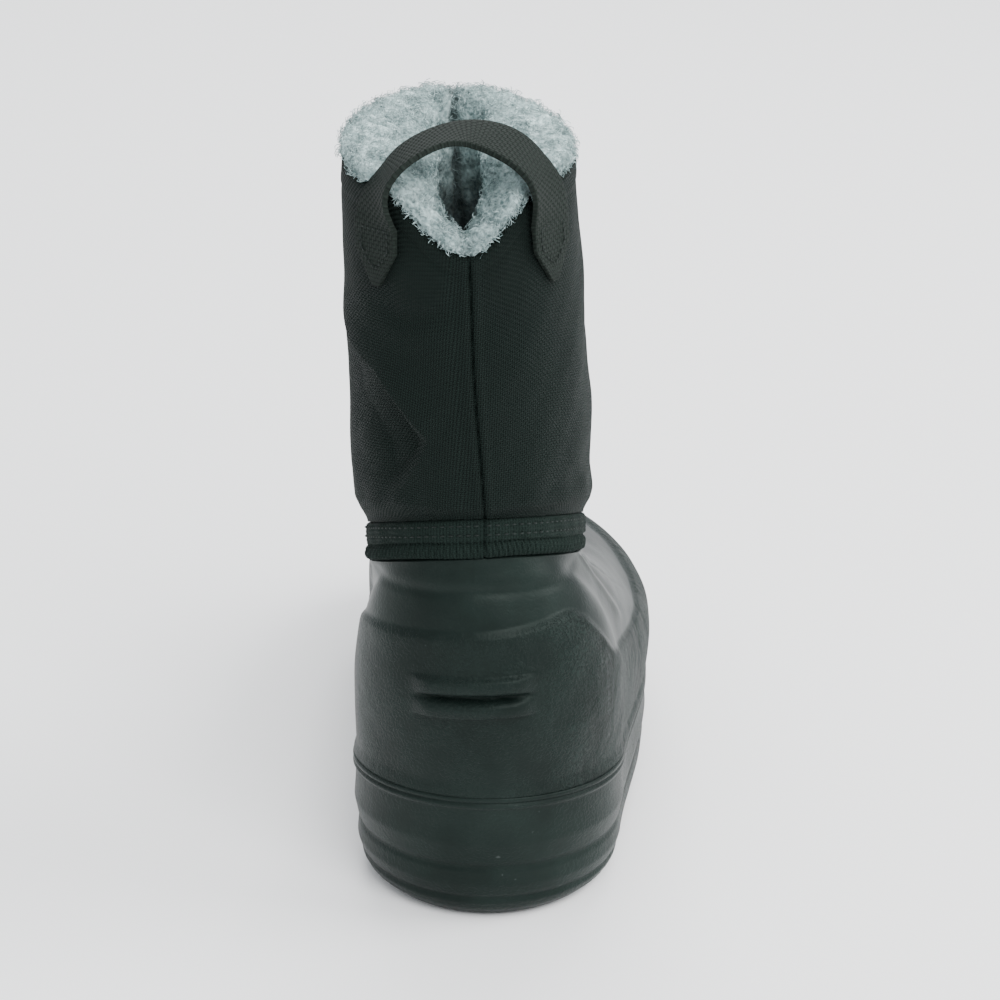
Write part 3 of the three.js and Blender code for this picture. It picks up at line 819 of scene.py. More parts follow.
class Finishes:
    """The boot's materials, one for each finish."""

    def __init__(self) -> None:
        """Builds the shared groups and every material."""
        grain, woven = grain_group(), woven_group()
        self.foam = FoamFinish(
            "moulded foam",
            (0.0009, 0.0028, 0.0022),
            (0.0104, 0.0176, 0.0152),
            0.56,
            relief=0.0009,
            shine=0.12,
        ).material(grain)
        self.cloth = WovenFinish(
            "oxford cloth",
            (0.0001, 0.0004, 0.0003),
            (0.0060, 0.0118, 0.0098),
            0.75,
            relief=0.0007,
            shine=0.11,
            across=0.00088,
            along=0.00088,
            turned=math.radians(5.0),
            strength=1.0,
        ).material(woven)
        self.tape = WovenFinish(
            "sewn tape",
            (0.0005, 0.0014, 0.0010),
            (0.0110, 0.0190, 0.0160),
            0.85,
            relief=0.0006,
            shine=0.08,
            across=0.0012,
            along=0.0007,
        ).material(woven)
        self.webbing = WovenFinish(
            "ribbed webbing",
            (0.0003, 0.0007, 0.0005),
            (0.0115, 0.0165, 0.0135),
            0.7,
            relief=0.0008,
            shine=0.12,
            across=0.0010,
            along=0.0013,
        ).material(woven)
        self.thread = WovenFinish(
            "sewing thread",
            (0.004, 0.0065, 0.0058),
            (0.026, 0.034, 0.031),
            0.7,
            relief=0.0002,
            shine=0.3,
            across=0.0004,
            along=0.0004,
        ).material(woven)
        self.fleece = FleeceFinish(
            "pale fleece", (0.10, 0.158, 0.158), (0.57, 0.72, 0.715), 1.0, sheen=0.1, relief=0.0006
        ).material()
        self.felt = FleeceFinish(
            "felted footbed", (0.2, 0.25, 0.25), (0.34, 0.4, 0.4), 1.0, sheen=0.2
        ).material()


def ring_angles(count: int) -> np.ndarray:
    """Even angles once round the boot."""
    return np.arange(count) * 2 * math.pi / count


def seam_angles(form: BootForm, count: int, crowding: float = 0.75) -> np.ndarray:
    """Angles once round the shaft, crowded together at its back seam."""
    turn = ring_angles(count)
    return turn - crowding * np.sin(turn) + form.shaft_twist


def across_rows(row: np.ndarray, count: int) -> np.ndarray:
    """Rows that close a ring across the foot, down to its middle line.

    Args:
        row: A ring whose points mirror each other across the foot.
        count: How many rows are made.

    Returns:
        The rows, the last of them on the middle line.
    """
    opposite = np.roll(row[::-1], 1, axis=0)
    middle = (row + opposite) / 2
    shares = (np.arange(1, count + 1) / count)[:, None, None]
    return mix(row[None], middle[None], shares)


def nearest(
    along: np.ndarray, up: np.ndarray, route: list[tuple[float, float]]
) -> tuple[np.ndarray, np.ndarray, np.ndarray]:
    """Finds where each place lies beside a route.

    Args:
        along: Places round the surface in millimetres.
        up: Heights in millimetres.
        route: The route's points as (along, up).

    Returns:
        The distance from the route, the share of it passed, and its side as a sign.
    """
    best = np.full(np.broadcast(along, up).shape, 1e9)
    share, side = np.zeros_like(best), np.zeros_like(best)
    for k, (start, end) in enumerate(zip(route, route[1:])):
        dx, dy = end[0] - start[0], end[1] - start[1]
        t = np.clip(((along - start[0]) * dx + (up - start[1]) * dy) / (dx * dx + dy * dy), 0, 1)
        off_x, off_y = along - start[0] - t * dx, up - start[1] - t * dy
        distance = np.hypot(off_x, off_y)
        nearer = distance < best
        best = np.where(nearer, distance, best)
        share = np.where(nearer, (k + t) / (len(route) - 1), share)
        side = np.where(nearer, np.sign(dx * off_y - dy * off_x), side)
    return best, share, side


def crease(along: np.ndarray, up: np.ndarray, route: list[tuple[float, float]], width: float) -> np.ndarray:
    """A soft trough along a route, with a low swelling beside it.

    Args:
        along: Places round the surface in millimetres.
        up: Heights in millimetres.
        route: The trough's points as (along, up).
        width: Half width of the trough.

    Returns:
        The change of height, about -1 in the trough, fading at the route's ends.
    """
    best, share, side = nearest(along, up, route)
    fade = np.sin(np.pi * np.clip(share, 0.02, 0.98)) ** 0.7
    swelling = 0.45 * bump(best * side + 2.1 * width, 1.3 * width)
    return (swelling - bump(best, width)) * fade


def fold(along: np.ndarray, up: np.ndarray, route: list[tuple[float, float]]) -> np.ndarray:
    """A fold of cloth: it stands proud on the upper side of a route and drops away below it.

    Args:
        along: Places round the surface in millimetres.
        up: Heights in millimetres.
        route: The fold's points as (along, up), going down.

    Returns:
        The change of height, from about -1 to 0.5, fading at the route's ends.
    """
    brow, lip, hollow = 9.0, 3.0, 16.0
    best, share, side = nearest(along, up, route)
    fade = smooth(share / 0.3) * smooth((1 - share) / 0.15)
    slide = np.sin(np.clip(best / brow, 0, 1) * math.pi / 2) * bump(np.maximum(best - brow, 0), hollow)
    return np.where(side > 0, 0.5 * bump(best, brow), 0.5 * bump(best, lip) - slide) * fade


def many(name: str, points: np.ndarray, faces: np.ndarray) -> bpy.types.Object:
    """Joins many small shapes of one make into one object.

    Args:
        name: The object's name.
        points: Each shape's points in metres, as (shape, point, 3).
        faces: The triangles of one shape.

    Returns:
        The joined object.
    """
    count, size = points.shape[:2]
    shifted = faces[None] + (np.arange(count) * size)[:, None, None]
    mesh = bpy.data.meshes.new(name)
    mesh.from_pydata(points.reshape(-1, 3).tolist(), [], shifted.reshape(-1, faces.shape[1]).tolist())
    mesh.polygons.foreach_set("use_smooth", [True] * len(mesh.polygons))
    mesh.update()
    made = bpy.data.objects.new(name, mesh)
    bpy.context.scene.collection.objects.link(made)
    return made


@dataclass
class Stitching:
    """Rows of sewing thread, each stitch a short rounded bead lying in the cloth."""

    length: float = 1.9
    width: float = 0.55
    thickness: float = 0.42

    def sew(self, name: str, centres: np.ndarray, along: np.ndarray, outward: np.ndarray) -> bpy.types.Object:
        """Lays one stitch at each place.

        Args:
            name: The object's name.
            centres: The stitches' middles in millimetres.
            along: The way each one runs.
            outward: The way out of the cloth.

        Returns:
            All the stitches as one object.
        """
        bm = bmesh.new()
        bmesh.ops.create_icosphere(bm, subdivisions=1, radius=0.5)
        bmesh.ops.triangulate(bm, faces=bm.faces)
        bead = np.array([list(vert.co) for vert in bm.verts]) * (self.length, self.width, self.thickness)
        faces = np.array([[vert.index for vert in face.verts] for face in bm.faces])
        bm.free()
        unit = along / np.linalg.norm(along, axis=1, keepdims=True)
        out = outward - unit * np.sum(outward * unit, axis=1, keepdims=True)
        out = out / np.linalg.norm(out, axis=1, keepdims=True)
        ways = np.stack([unit, np.cross(out, unit), out], axis=1)
        return many(name, (centres[:, None] + bead @ ways) * MM, faces)


@dataclass
class Foot:
    """The moulded foot: lugged cup sole, hollow shell with its rand and kick ribs, footbed."""

    form: BootForm
    finishes: Finishes
    around: int = 400
    shell_rows: int = 185
    hollow_rows: int = 24
    side_rows: int = 64
    footbed_around: int = 160
    mean_radius: float = 52.0
    fold_level: float = 114.8
    rib_level: float = 80.3
    rib_middle: float = -2.2
    rib_half: float = 18.5
    rib_proud: float = 2.3
    rib_groove: float = 2.9
    bottom_flare: float = 0.9
    groove_step: float = 19.0
    groove_width: float = 4.5
    groove_sweep: float = 9.0
    first_groove: float = 1.9
    tread_end: float = 0.94
    lug_depth: float = 5.0

    def build(self) -> list[bpy.types.Object]:
        """Builds and dresses the three pieces.

        Returns:
            The sole, the shell and the footbed.
        """
        sole, shell, footbed = self.sole(), self.shell(), self.footbed()
        dressed = (
            (sole, "sole", "foam", self.finishes.foam),
            (shell, "shell", "foam", self.finishes.foam),
            (footbed, "footbed", "felt", self.finishes.felt),
        )
        for made, node, slot, finish in dressed:
            made.data.materials.append(finish)
            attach(made, "root")
            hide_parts(node)
        return [sole, shell, footbed]

    def counter_line(self, angle: np.ndarray) -> np.ndarray:
        """Height of the thick lower part's upper edge, with its dip on the outer side.

        Args:
            angle: Angles round the foot.

        Returns:
            The height in millimetres.
        """
        turns = [0, 9.5, 23, 29, 32.5, 36, 39, 42, 50, 60, 70, 82]
        levels = [101.8, 102.9, 104.3, 104.2, 100.5, 92.0, 85.5, 82.0, 77.5, 72.0, 67.5, 61.5]
        turns += [98, 120, 150, 180, 230, 262, 290, 305, 318, 331.5, 344, 356, 360]
        levels += [56.0, 52.0, 50.0, 52.0, 52.0, 60.0, 80.0, 90.0, 95.0, 97.7, 100.1, 101.4, 101.8]
        turn = np.degrees(np.mod(angle, 2 * math.pi))
        return np.mean([np.interp(turn + d, turns, levels, period=360) for d in (-2, -1, 0, 1, 2)], axis=0)

    def below_counter(self, angle: np.ndarray, z: np.ndarray, soft: float) -> np.ndarray:
        """1 under the counter's edge, easing to 0 above it over a width measured square to it.

        Args:
            angle: Angles round the foot.
            z: Heights in millimetres.
            soft: The width that it eases over.

        Returns:
            The share, 0 to 1.
        """
        beside = 0.01
        rise = self.counter_line(angle + beside) - self.counter_line(angle - beside)
        slope = rise / (2 * beside * self.mean_radius)
        return 1 - smooth((z - self.counter_line(angle)) / np.sqrt(1 + slope**2) / soft + 0.5)

    def relief(self, points: np.ndarray, angle: np.ndarray, step: np.ndarray) -> np.ndarray:
        """The shell's own relief: kick ribs, parting line, creases and soft unevenness.

        Args:
            points: The plain surface.
            angle: Angle of each point.
            step: Step of each point between ridge and rim.

        Returns:
            Height over the plain surface, in millimetres.
        """
        x, z = points[..., 0], points[..., 2]
        back = window(np.cos(angle), 0.55, 2.0, 0.25)
        reach = np.clip(np.abs(x - self.rib_middle) / self.rib_half, 0, 1.6)
        level = self.rib_level + 1.0 + 0.07 * (x - self.rib_middle)
        ends = 1 - smooth((reach - 0.7) / 0.45)
        plateau = window(z, level - 6.0, level + 6.3, 0.6)
        groove = bump(z - level, 1.4 - 0.5 * np.clip(reach, 0, 1)) * (1 - smooth((reach - 0.5) / 0.6))
        crown = 1 - 0.35 * ((np.abs(z - level) - 3.9) / 3.0) ** 2
        ribs = (self.rib_proud * plateau * crown * ends - self.rib_groove * groove) * back
        parting = 0.14 * bump(x - self.rib_middle, 0.45) * back * window(step, 0.05, 0.98, 0.05)
        above_fold = z - self.fold_level + 0.003 * x**2
        upper_fold = 0.3 * bump(above_fold - 3.4, 3.2) - 0.38 * bump(above_fold, 1.7)
        upper_fold = upper_fold * window(x, -30, 22, 14) * back
        rand_roll = 0.15 * bump(z - self.counter_line(angle) + 3.4, 2.8)
        turn = np.degrees(angle)
        ankle = self._ankle_creases(turn, step)
        uneven = 0.22 * ripple(points, 46.0, 0.7) * window(step, 0.06, 0.94, 0.08)
        return ribs + parting + upper_fold + rand_roll + ankle + uneven

    @staticmethod
    def _ankle_creases(turn: np.ndarray, step: np.ndarray) -> np.ndarray:
        """The folds of the ankle on either side, and the shallow one across the instep.

        Args:
            turn: Angle of each point in degrees.
            step: Step of each point between ridge and rim.

        Returns:
            Height over the plain surface, in millimetres.
        """
        # Each row: place in degrees, lean in degrees over the height, height and width.
        outer_side = ((74.0, 8.0, 0.5, 2.4), (79.5, 8.0, -0.45, 2.6), (92.0, -30.0, -0.4, 1.5))
        inner_side = ((284.0, 0.0, 0.5, 2.2), (279.0, 0.0, -0.4, 2.6))
        upright = 0.0
        for place, lean, height, width in outer_side + inner_side:
            upright = upright + height * bump(turn - place - lean * (step - 0.8), width)
        across = -0.35 * bump(step - 0.86 + 0.001 * (turn - 150), 0.02) * window(turn, 100.0, 250.0, 25.0)
        return upright * window(step, 0.70, 0.97, 0.08) + across

    def shell(self) -> bpy.types.Object:
        """Builds the hollow shell with its relief, flange and inner wall.

        Returns:
            The shell.
        """
        form = self.form
        angle = ring_angles(self.around)[None, :]
        step = np.linspace(0, 1, self.shell_rows)[:, None]
        plain = form.shell(angle, step)
        out = normals_of(plain)
        below = self.below_counter(angle, plain[..., 2], 3.4)
        rand = 0.8 * form.rand_step * below
        flare = self.bottom_flare * (1 - smooth(step / 0.05))
        height = rand + flare + self.relief(plain, angle, step) * window(step, 0.03, 0.97, 0.03)
        outer = plain + out * height[..., None]
        outer[0, :, 2] = plain[0, :, 2] - 0.9 * form.seat
        inset = form.band_thickness - form.band_proud + form.seat
        flange = [form.oval(form.ankle, angle[0], -inset), form.oval(form.ankle, angle[0], -inset)]
        inside = form.oval(form.ankle, angle[0], -form.shell_wall)
        for ring, rise in zip([*flange, inside], (0.4, form.flange_height, form.flange_height)):
            ring[:, 2] += rise
        hollow = form.shell(angle, np.linspace(0, 1, self.hollow_rows)[:, None])
        hollow = hollow - normals_of(hollow) * form.shell_wall
        hollow[0, :, 2] = plain[0, :, 2]
        points = np.concatenate([outer, np.stack([*flange, inside]), hollow[::-1]])
        outer_side = smooth((np.sin(angle) - 0.12) / 0.6) + 0.2 * smooth((-np.sin(angle) - 0.3) / 0.6)
        grain = (0.12 + 0.88 * np.maximum(outer_side, smooth((-np.cos(angle) - 0.2) / 0.5))) * below + 0.03
        hidden = np.zeros((len(points) - len(outer), self.around))
        mask = np.concatenate([np.broadcast_to(grain, outer.shape[:2]), hidden])
        return Surface("foam_shell", points, masks={"grain": mask}).build()

    def sole(self) -> bpy.types.Object:
        """Builds the cup sole with its ribbed side, ridge and cut lugs.

        Returns:
            The sole.
        """
        form = self.form
        angle = ring_angles(self.around)
        ups = [0.0, 0.03, 0.10, 0.175, 0.21, 0.245, 0.34, 0.455, 0.49, 0.53, 0.70, 0.84, 1.0]
        margins = [9.0, 6.0, 3.4, 2.2, 2.9, 1.9, 1.0, 1.4, 2.2, 1.3, 0.2, 0.6, 0.9]
        rows = []
        for up in np.linspace(0, 1, self.side_rows):
            margin = float(np.mean([np.interp(up + d, ups, margins) for d in (-0.012, 0.0, 0.012)]))
            x, y = form.plan(angle, margin)
            z = mix(form.tread_z(y), form.ridge_z(y) - form.ridge_height, up)
            rows.append(np.stack([x, y, z], axis=-1))
        ridge_margins = (0.25, 0.0, 0.0, 0.55, 0.6, 0.05, 0.0, 0.4)
        ridge_drops = (0.86, 0.72, 0.6, 0.5, 0.42, 0.32, 0.12, 0.0)
        for margin, drop in zip(ridge_margins, ridge_drops):
            x, y = form.plan(angle, margin)
            rows.append(np.stack([x, y, form.ridge_z(y) - form.ridge_height * drop], axis=-1))
        for margin, level in ((form.cup_wall, None), (form.cup_wall + 1, 2.0), (form.cup_wall + 3, 0.0)):
            x, y = form.plan(angle, margin)
            z = form.ridge_z(y) if level is None else form.floor_z(y) + level
            rows.append(np.stack([x, y, z], axis=-1))
        points = np.stack(rows)
        points = np.concatenate([across_rows(points[0], 14)[::-1], points, across_rows(points[-1], 6)])
        sides = smooth((1.0 - np.cos(angle)) / 0.8)
        mask = np.broadcast_to(0.06 + 0.3 * sides, points.shape[:2])
        made = Surface("cup_sole", points, closed_rows=False, masks={"grain": mask}).build()
        cutter = self.tread_cutter()
        cut = made.modifiers.new("tread", "BOOLEAN")
        cut.operation = "DIFFERENCE"
        cut.solver = "EXACT"
        cut.object = cutter
        apply_modifiers(made)
        bpy.data.objects.remove(cutter)
        return made

    def tread_cutter(self) -> bpy.types.Object:
        """Builds the chevron prisms that part the lugs.

        Returns:
            The prisms, taken away from the sole later.
        """
        form = self.form
        reach, half = form.ball_width * 0.75, self.groove_width / 2
        bm = bmesh.new()
        y = form.heel_back + self.groove_step * self.first_groove
        while y < form.heel_back + form.sole_length * self.tread_end:
            back, front = y - half, y + half
            outline = [(-reach, back - self.groove_sweep), (0, back), (reach, back - self.groove_sweep)]
            outline += [(reach, front - self.groove_sweep), (0, front), (-reach, front - self.groove_sweep)]
            verts = [bm.verts.new((px * MM, py * MM, -self.lug_depth * MM)) for px, py in outline]
            face = bm.faces.new(verts)
            top = float(form.tread_z(np.array(y - self.groove_sweep / 2))) + self.lug_depth
            made = bmesh.ops.extrude_face_region(bm, geom=[face])
            moved = [item for item in made["geom"] if isinstance(item, bmesh.types.BMVert)]
            bmesh.ops.translate(bm, verts=moved, vec=(0, 0, (top + self.lug_depth) * MM))
            y += self.groove_step
        bmesh.ops.recalc_face_normals(bm, faces=bm.faces)
        return object_from(bm, "tread_cutter", shade_smooth=False)

    def footbed(self) -> bpy.types.Object:
        """Builds the felted insole that lies in the cup.

        Returns:
            The footbed.
        """
        form = self.form
        angle = ring_angles(self.footbed_around)
        top_rows = 24
        rows = []
        for margin, up in ((14.5, 0.3), (11.5, 3.0), (11.5, 4.8), (13.5, 6.0)):
            x, y = form.plan(angle, margin)
            rows.append(np.stack([x, y, form.floor_z(y) + up], axis=-1))
        points = np.stack(rows)
        points = np.concatenate([across_rows(points[0], 8)[::-1], points, across_rows(points[-1], top_rows)])
        points[-top_rows:, :, 2] += 0.35 * ripple(points[-top_rows:], 9.0, 0.3)
        return Surface("felt_footbed", points, closed_rows=False).build()


@dataclass
class Ankle:
    """The sewn band over the joint: a tape with two rows of stitches above a whipped bead."""

    form: BootForm
    finishes: Finishes
    count: int = 420
    rows: int = 60
    radius_share: float = 0.62
    stitch_start: float = 1.6
    stitch_pitch: float = 2.7
    stitch_proud: float = 0.5
    stitch_levels: tuple[float, float] = (0.62, 0.86)

    def build(self) -> list[bpy.types.Object]:
        """Builds and dresses the band and its stitches.

        Returns:
            The band and the stitches.
        """
        band, stitches = self.band(), self.stitches()
        band.data.materials.append(self.finishes.tape)
        stitches.data.materials.append(self.finishes.thread)
        for made in (band, stitches):
            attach(made, "root")
        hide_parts("band")
        return [band, stitches]

    def band(self) -> bpy.types.Object:
        """Builds the tape and bead, with their puckers and the whipping's twist.

        Returns:
            The band.
        """
        form = self.form
        proud, inside = form.band_proud, form.band_proud - form.band_thickness
        ups = [0.0, 0.05, 0.13, 0.22, 0.3, 0.36, 0.4, 0.44, 0.5, 0.62, 0.74, 0.86, 0.93, 0.97, 1.0]
        outs = [0.1, 0.9, 1.3, 1.35, 1.2, 0.7, 0.15, 0.75, 1.1, 1.0, 1.2, 1.0, 0.9, 0.5, -0.4]
        angle = seam_angles(form, self.count)
        rows = []
        for up in np.linspace(0, 1, self.rows):
            rows.append(self._row(angle, up, float(np.interp(up, ups, outs))))
        rows += [self._row(angle, 0.985, proud - 1.6), self._row(angle, 0.98, inside)]
        rows += [self._row(angle, 0.5, inside), self._row(angle, 0.02, inside)]
        return Surface("sewn_band", np.stack(rows)).build()

    def _row(self, angle: np.ndarray, up: float, out: float) -> np.ndarray:
        """One row of the band's surface, puckered where it shows.

        Args:
            angle: Angles round the ankle.
            up: Share of the band's height.
            out: How far the row stands out.

        Returns:
            The row's points in millimetres.
        """
        form = self.form
        around = (angle - form.shaft_twist) * form.ankle.width * self.radius_share
        shown = 1.0 if out > -0.5 else 0.0
        tape = smooth((up - 0.42) / 0.05)
        pucker = 0.16 * np.sin(around / 1.45 + 4 * up)
        pucker = pucker + 0.22 * np.sin(around / 4.1 + 2.2 * np.sin(around / 13))
        whipping = 0.26 * np.sin(around * 2 * math.pi / 1.9 + up * 12) + 0.2 * np.sin(around / 2.7)
        seam = -0.8 * bump(around, 0.8) + 0.35 * bump(np.abs(around) - 2.0, 1.1)
        height = (mix(whipping, pucker, tape) * (0.4 + 0.6 * window(up, 0.05, 0.95, 0.05)) + seam) * shown
        ring = form.oval(form.ankle, angle, out + height)
        ring[:, 2] += 2 * form.seat + up * form.band_height
        ring[:, 2] += 0.25 * np.sin(around / 9.0) * shown * (1 - tape)
        return ring

    def stitches(self) -> bpy.types.Object:
        """Sews the two rows along the tape.

        Returns:
            The stitches.
        """
        form = self.form
        dense = np.linspace(0, 2 * math.pi, 2000) + form.shaft_twist
        places, ways, outs = [], [], []
        for level in self.stitch_levels:
            ring = form.oval(form.ankle, dense, form.band_proud + self.stitch_proud)
            ring[:, 2] += 2 * form.seat + level * form.band_height
            length = run_length(ring)
            stops = np.arange(self.stitch_start, length[-1] - self.stitch_start, self.stitch_pitch)
            index = np.searchsorted(length, stops)
            along = ring[np.minimum(index + 1, len(ring) - 1)] - ring[index - 1]
            places.append(ring[index])
            ways.append(along)
            outs.append(np.cross(along, np.array([0.0, 0.0, 1.0])))
        centres, along, outward = (np.concatenate(part) for part in (places, ways, outs))
        return Stitching().sew("band_stitches", centres, along, outward)


@dataclass
class Leg:
    """The woven shaft, with its back seam, folds and the turned hem round the notch."""

    form: BootForm
    finishes: Finishes
    count: int = 400
    rows: int = 130
    band_rows: int = 48
    mean_radius: float = 47.0
    visible_height: float = 108.0
    hem_width: float = 7.0
    lip_share: float = 0.985

    def build(self) -> list[bpy.types.Object]:
        """Builds and dresses the shaft.

        Returns:
            The shaft, alone in a list.
        """
        shaft = self.shaft()
        shaft.data.materials.append(self.finishes.cloth)
        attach(shaft, "root")
        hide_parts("shaft")
        return [shaft]

    def relief(self, angle: np.ndarray, share: np.ndarray, points: np.ndarray) -> np.ndarray:
        """Folds and seam of the cloth.

        Args:
            angle: Angle of each point.
            share: Share of the shaft's height.
            points: The plain surface.

        Returns:
            Height over the plain surface, in millimetres.
        """
        form = self.form
        along = form.turned(angle) * self.mean_radius
        z = points[..., 2]
        free = smooth((share - form.tucked) / 0.08)
        wander = along + 0.45 * np.sin(z / 13.0)
        seam = -0.95 * bump(wander, 0.45) + 0.4 * bump(np.abs(wander) - 2.0, 1.5)
        seam = seam + 0.18 * bump(along, 6.0) * np.sin(z / 4.6)
        back_fold = [(-74, 199), (-53, 190.7), (-36, 185), (-26.7, 177), (-20.5, 171), (-13, 165)]
        folds = (
            4.4 * fold(along, z, back_fold)
            + 0.8 * crease(along, z, [(-22, 164), (-34, 153), (-52, 147)], 4.2)
            + 0.8 * crease(along, z, [(-36, 205), (-22, 203), (-6, 206)], 3.0)
            + 0.9 * crease(along, z, [(66, 150), (48, 143), (28, 146)], 5.0)
            + 1.1 * crease(along, z, [(112, 160), (88, 148), (66, 138)], 6.0)
            + 1.2 * crease(along, z, [(-120, 140), (-96, 128), (-74, 134)], 6.0)
            + 1.0 * crease(along, z, [(126, 200), (100, 190), (76, 196)], 7.0)
        )
        sag = 0.7 * ripple(points, 74.0, 1.9) + 0.25 * ripple(points, 31.0, 0.4)
        gathers = 0.35 * np.sin(along / 2.6) * (1 - smooth((share - form.tucked) / 0.16))
        hem = -0.45 * bump((1 - share) * self.visible_height - self.hem_width, 0.7) + 0.3 * (share > 0.93)
        band_top = form.oval(form.ankle, angle, 0.0)[..., 2] + 2 * form.seat + form.band_height
        rise = z - band_top
        hidden = 1 - smooth((share - form.tucked) / 0.05)
        skirt = (3.0 * smooth((rise + 0.15) / 0.25) + 2.0 * smooth(rise / 6.0)) * hidden
        return (folds + sag + gathers + hem) * free + skirt + seam * smooth((share - 0.02) / 0.05)

    def shaft(self) -> bpy.types.Object:
        """Builds the hollow sleeve of cloth.

        Returns:
            The sleeve.
        """
        form = self.form
        angle = seam_angles(form, self.count)[None, :]
        low = np.concatenate([[0.0], np.linspace(form.tucked - 0.044, form.clear_of_band, self.band_rows)])
        high = np.linspace(form.clear_of_band, self.lip_share, self.rows)[1:]
        share = np.concatenate([low, high])[:, None]
        plain = form.shaft(angle, share, 0.0)
        height = self.relief(angle, share, plain)
        outer = form.shaft(angle, share, height)
        lip = [form.shaft(angle[0], np.array(1.0), -d)[None] for d in (0.35, 1.0, 2.0, 2.7)]
        inner_share = [self.lip_share, 0.8, 0.6, 0.4, 0.25, form.clear_of_band, form.tucked + 0.01, 0.0]
        inner_share = np.array(inner_share)[:, None]
        wall = np.where(inner_share < 0.1, 0.62, 1.0) * form.shaft_wall
        inner = form.shaft(angle, inner_share, -wall)
        points = np.concatenate([outer, *lip, inner])
        up = run_length(points)
        up = np.broadcast_to(up.mean(axis=1, keepdims=True), up.shape)
        around = np.broadcast_to((angle - form.shaft_twist) * self.mean_radius, up.shape)
        chart = np.stack([around, up], axis=-1) * MM
        last = chart[:, :1] + np.array([2 * math.pi * self.mean_radius * MM, 0.0])
        chart = np.concatenate([chart, last], axis=1)
        chart = np.concatenate([chart, chart[-1:]], axis=0)
        return Surface("woven_shaft", points, chart=chart).build()


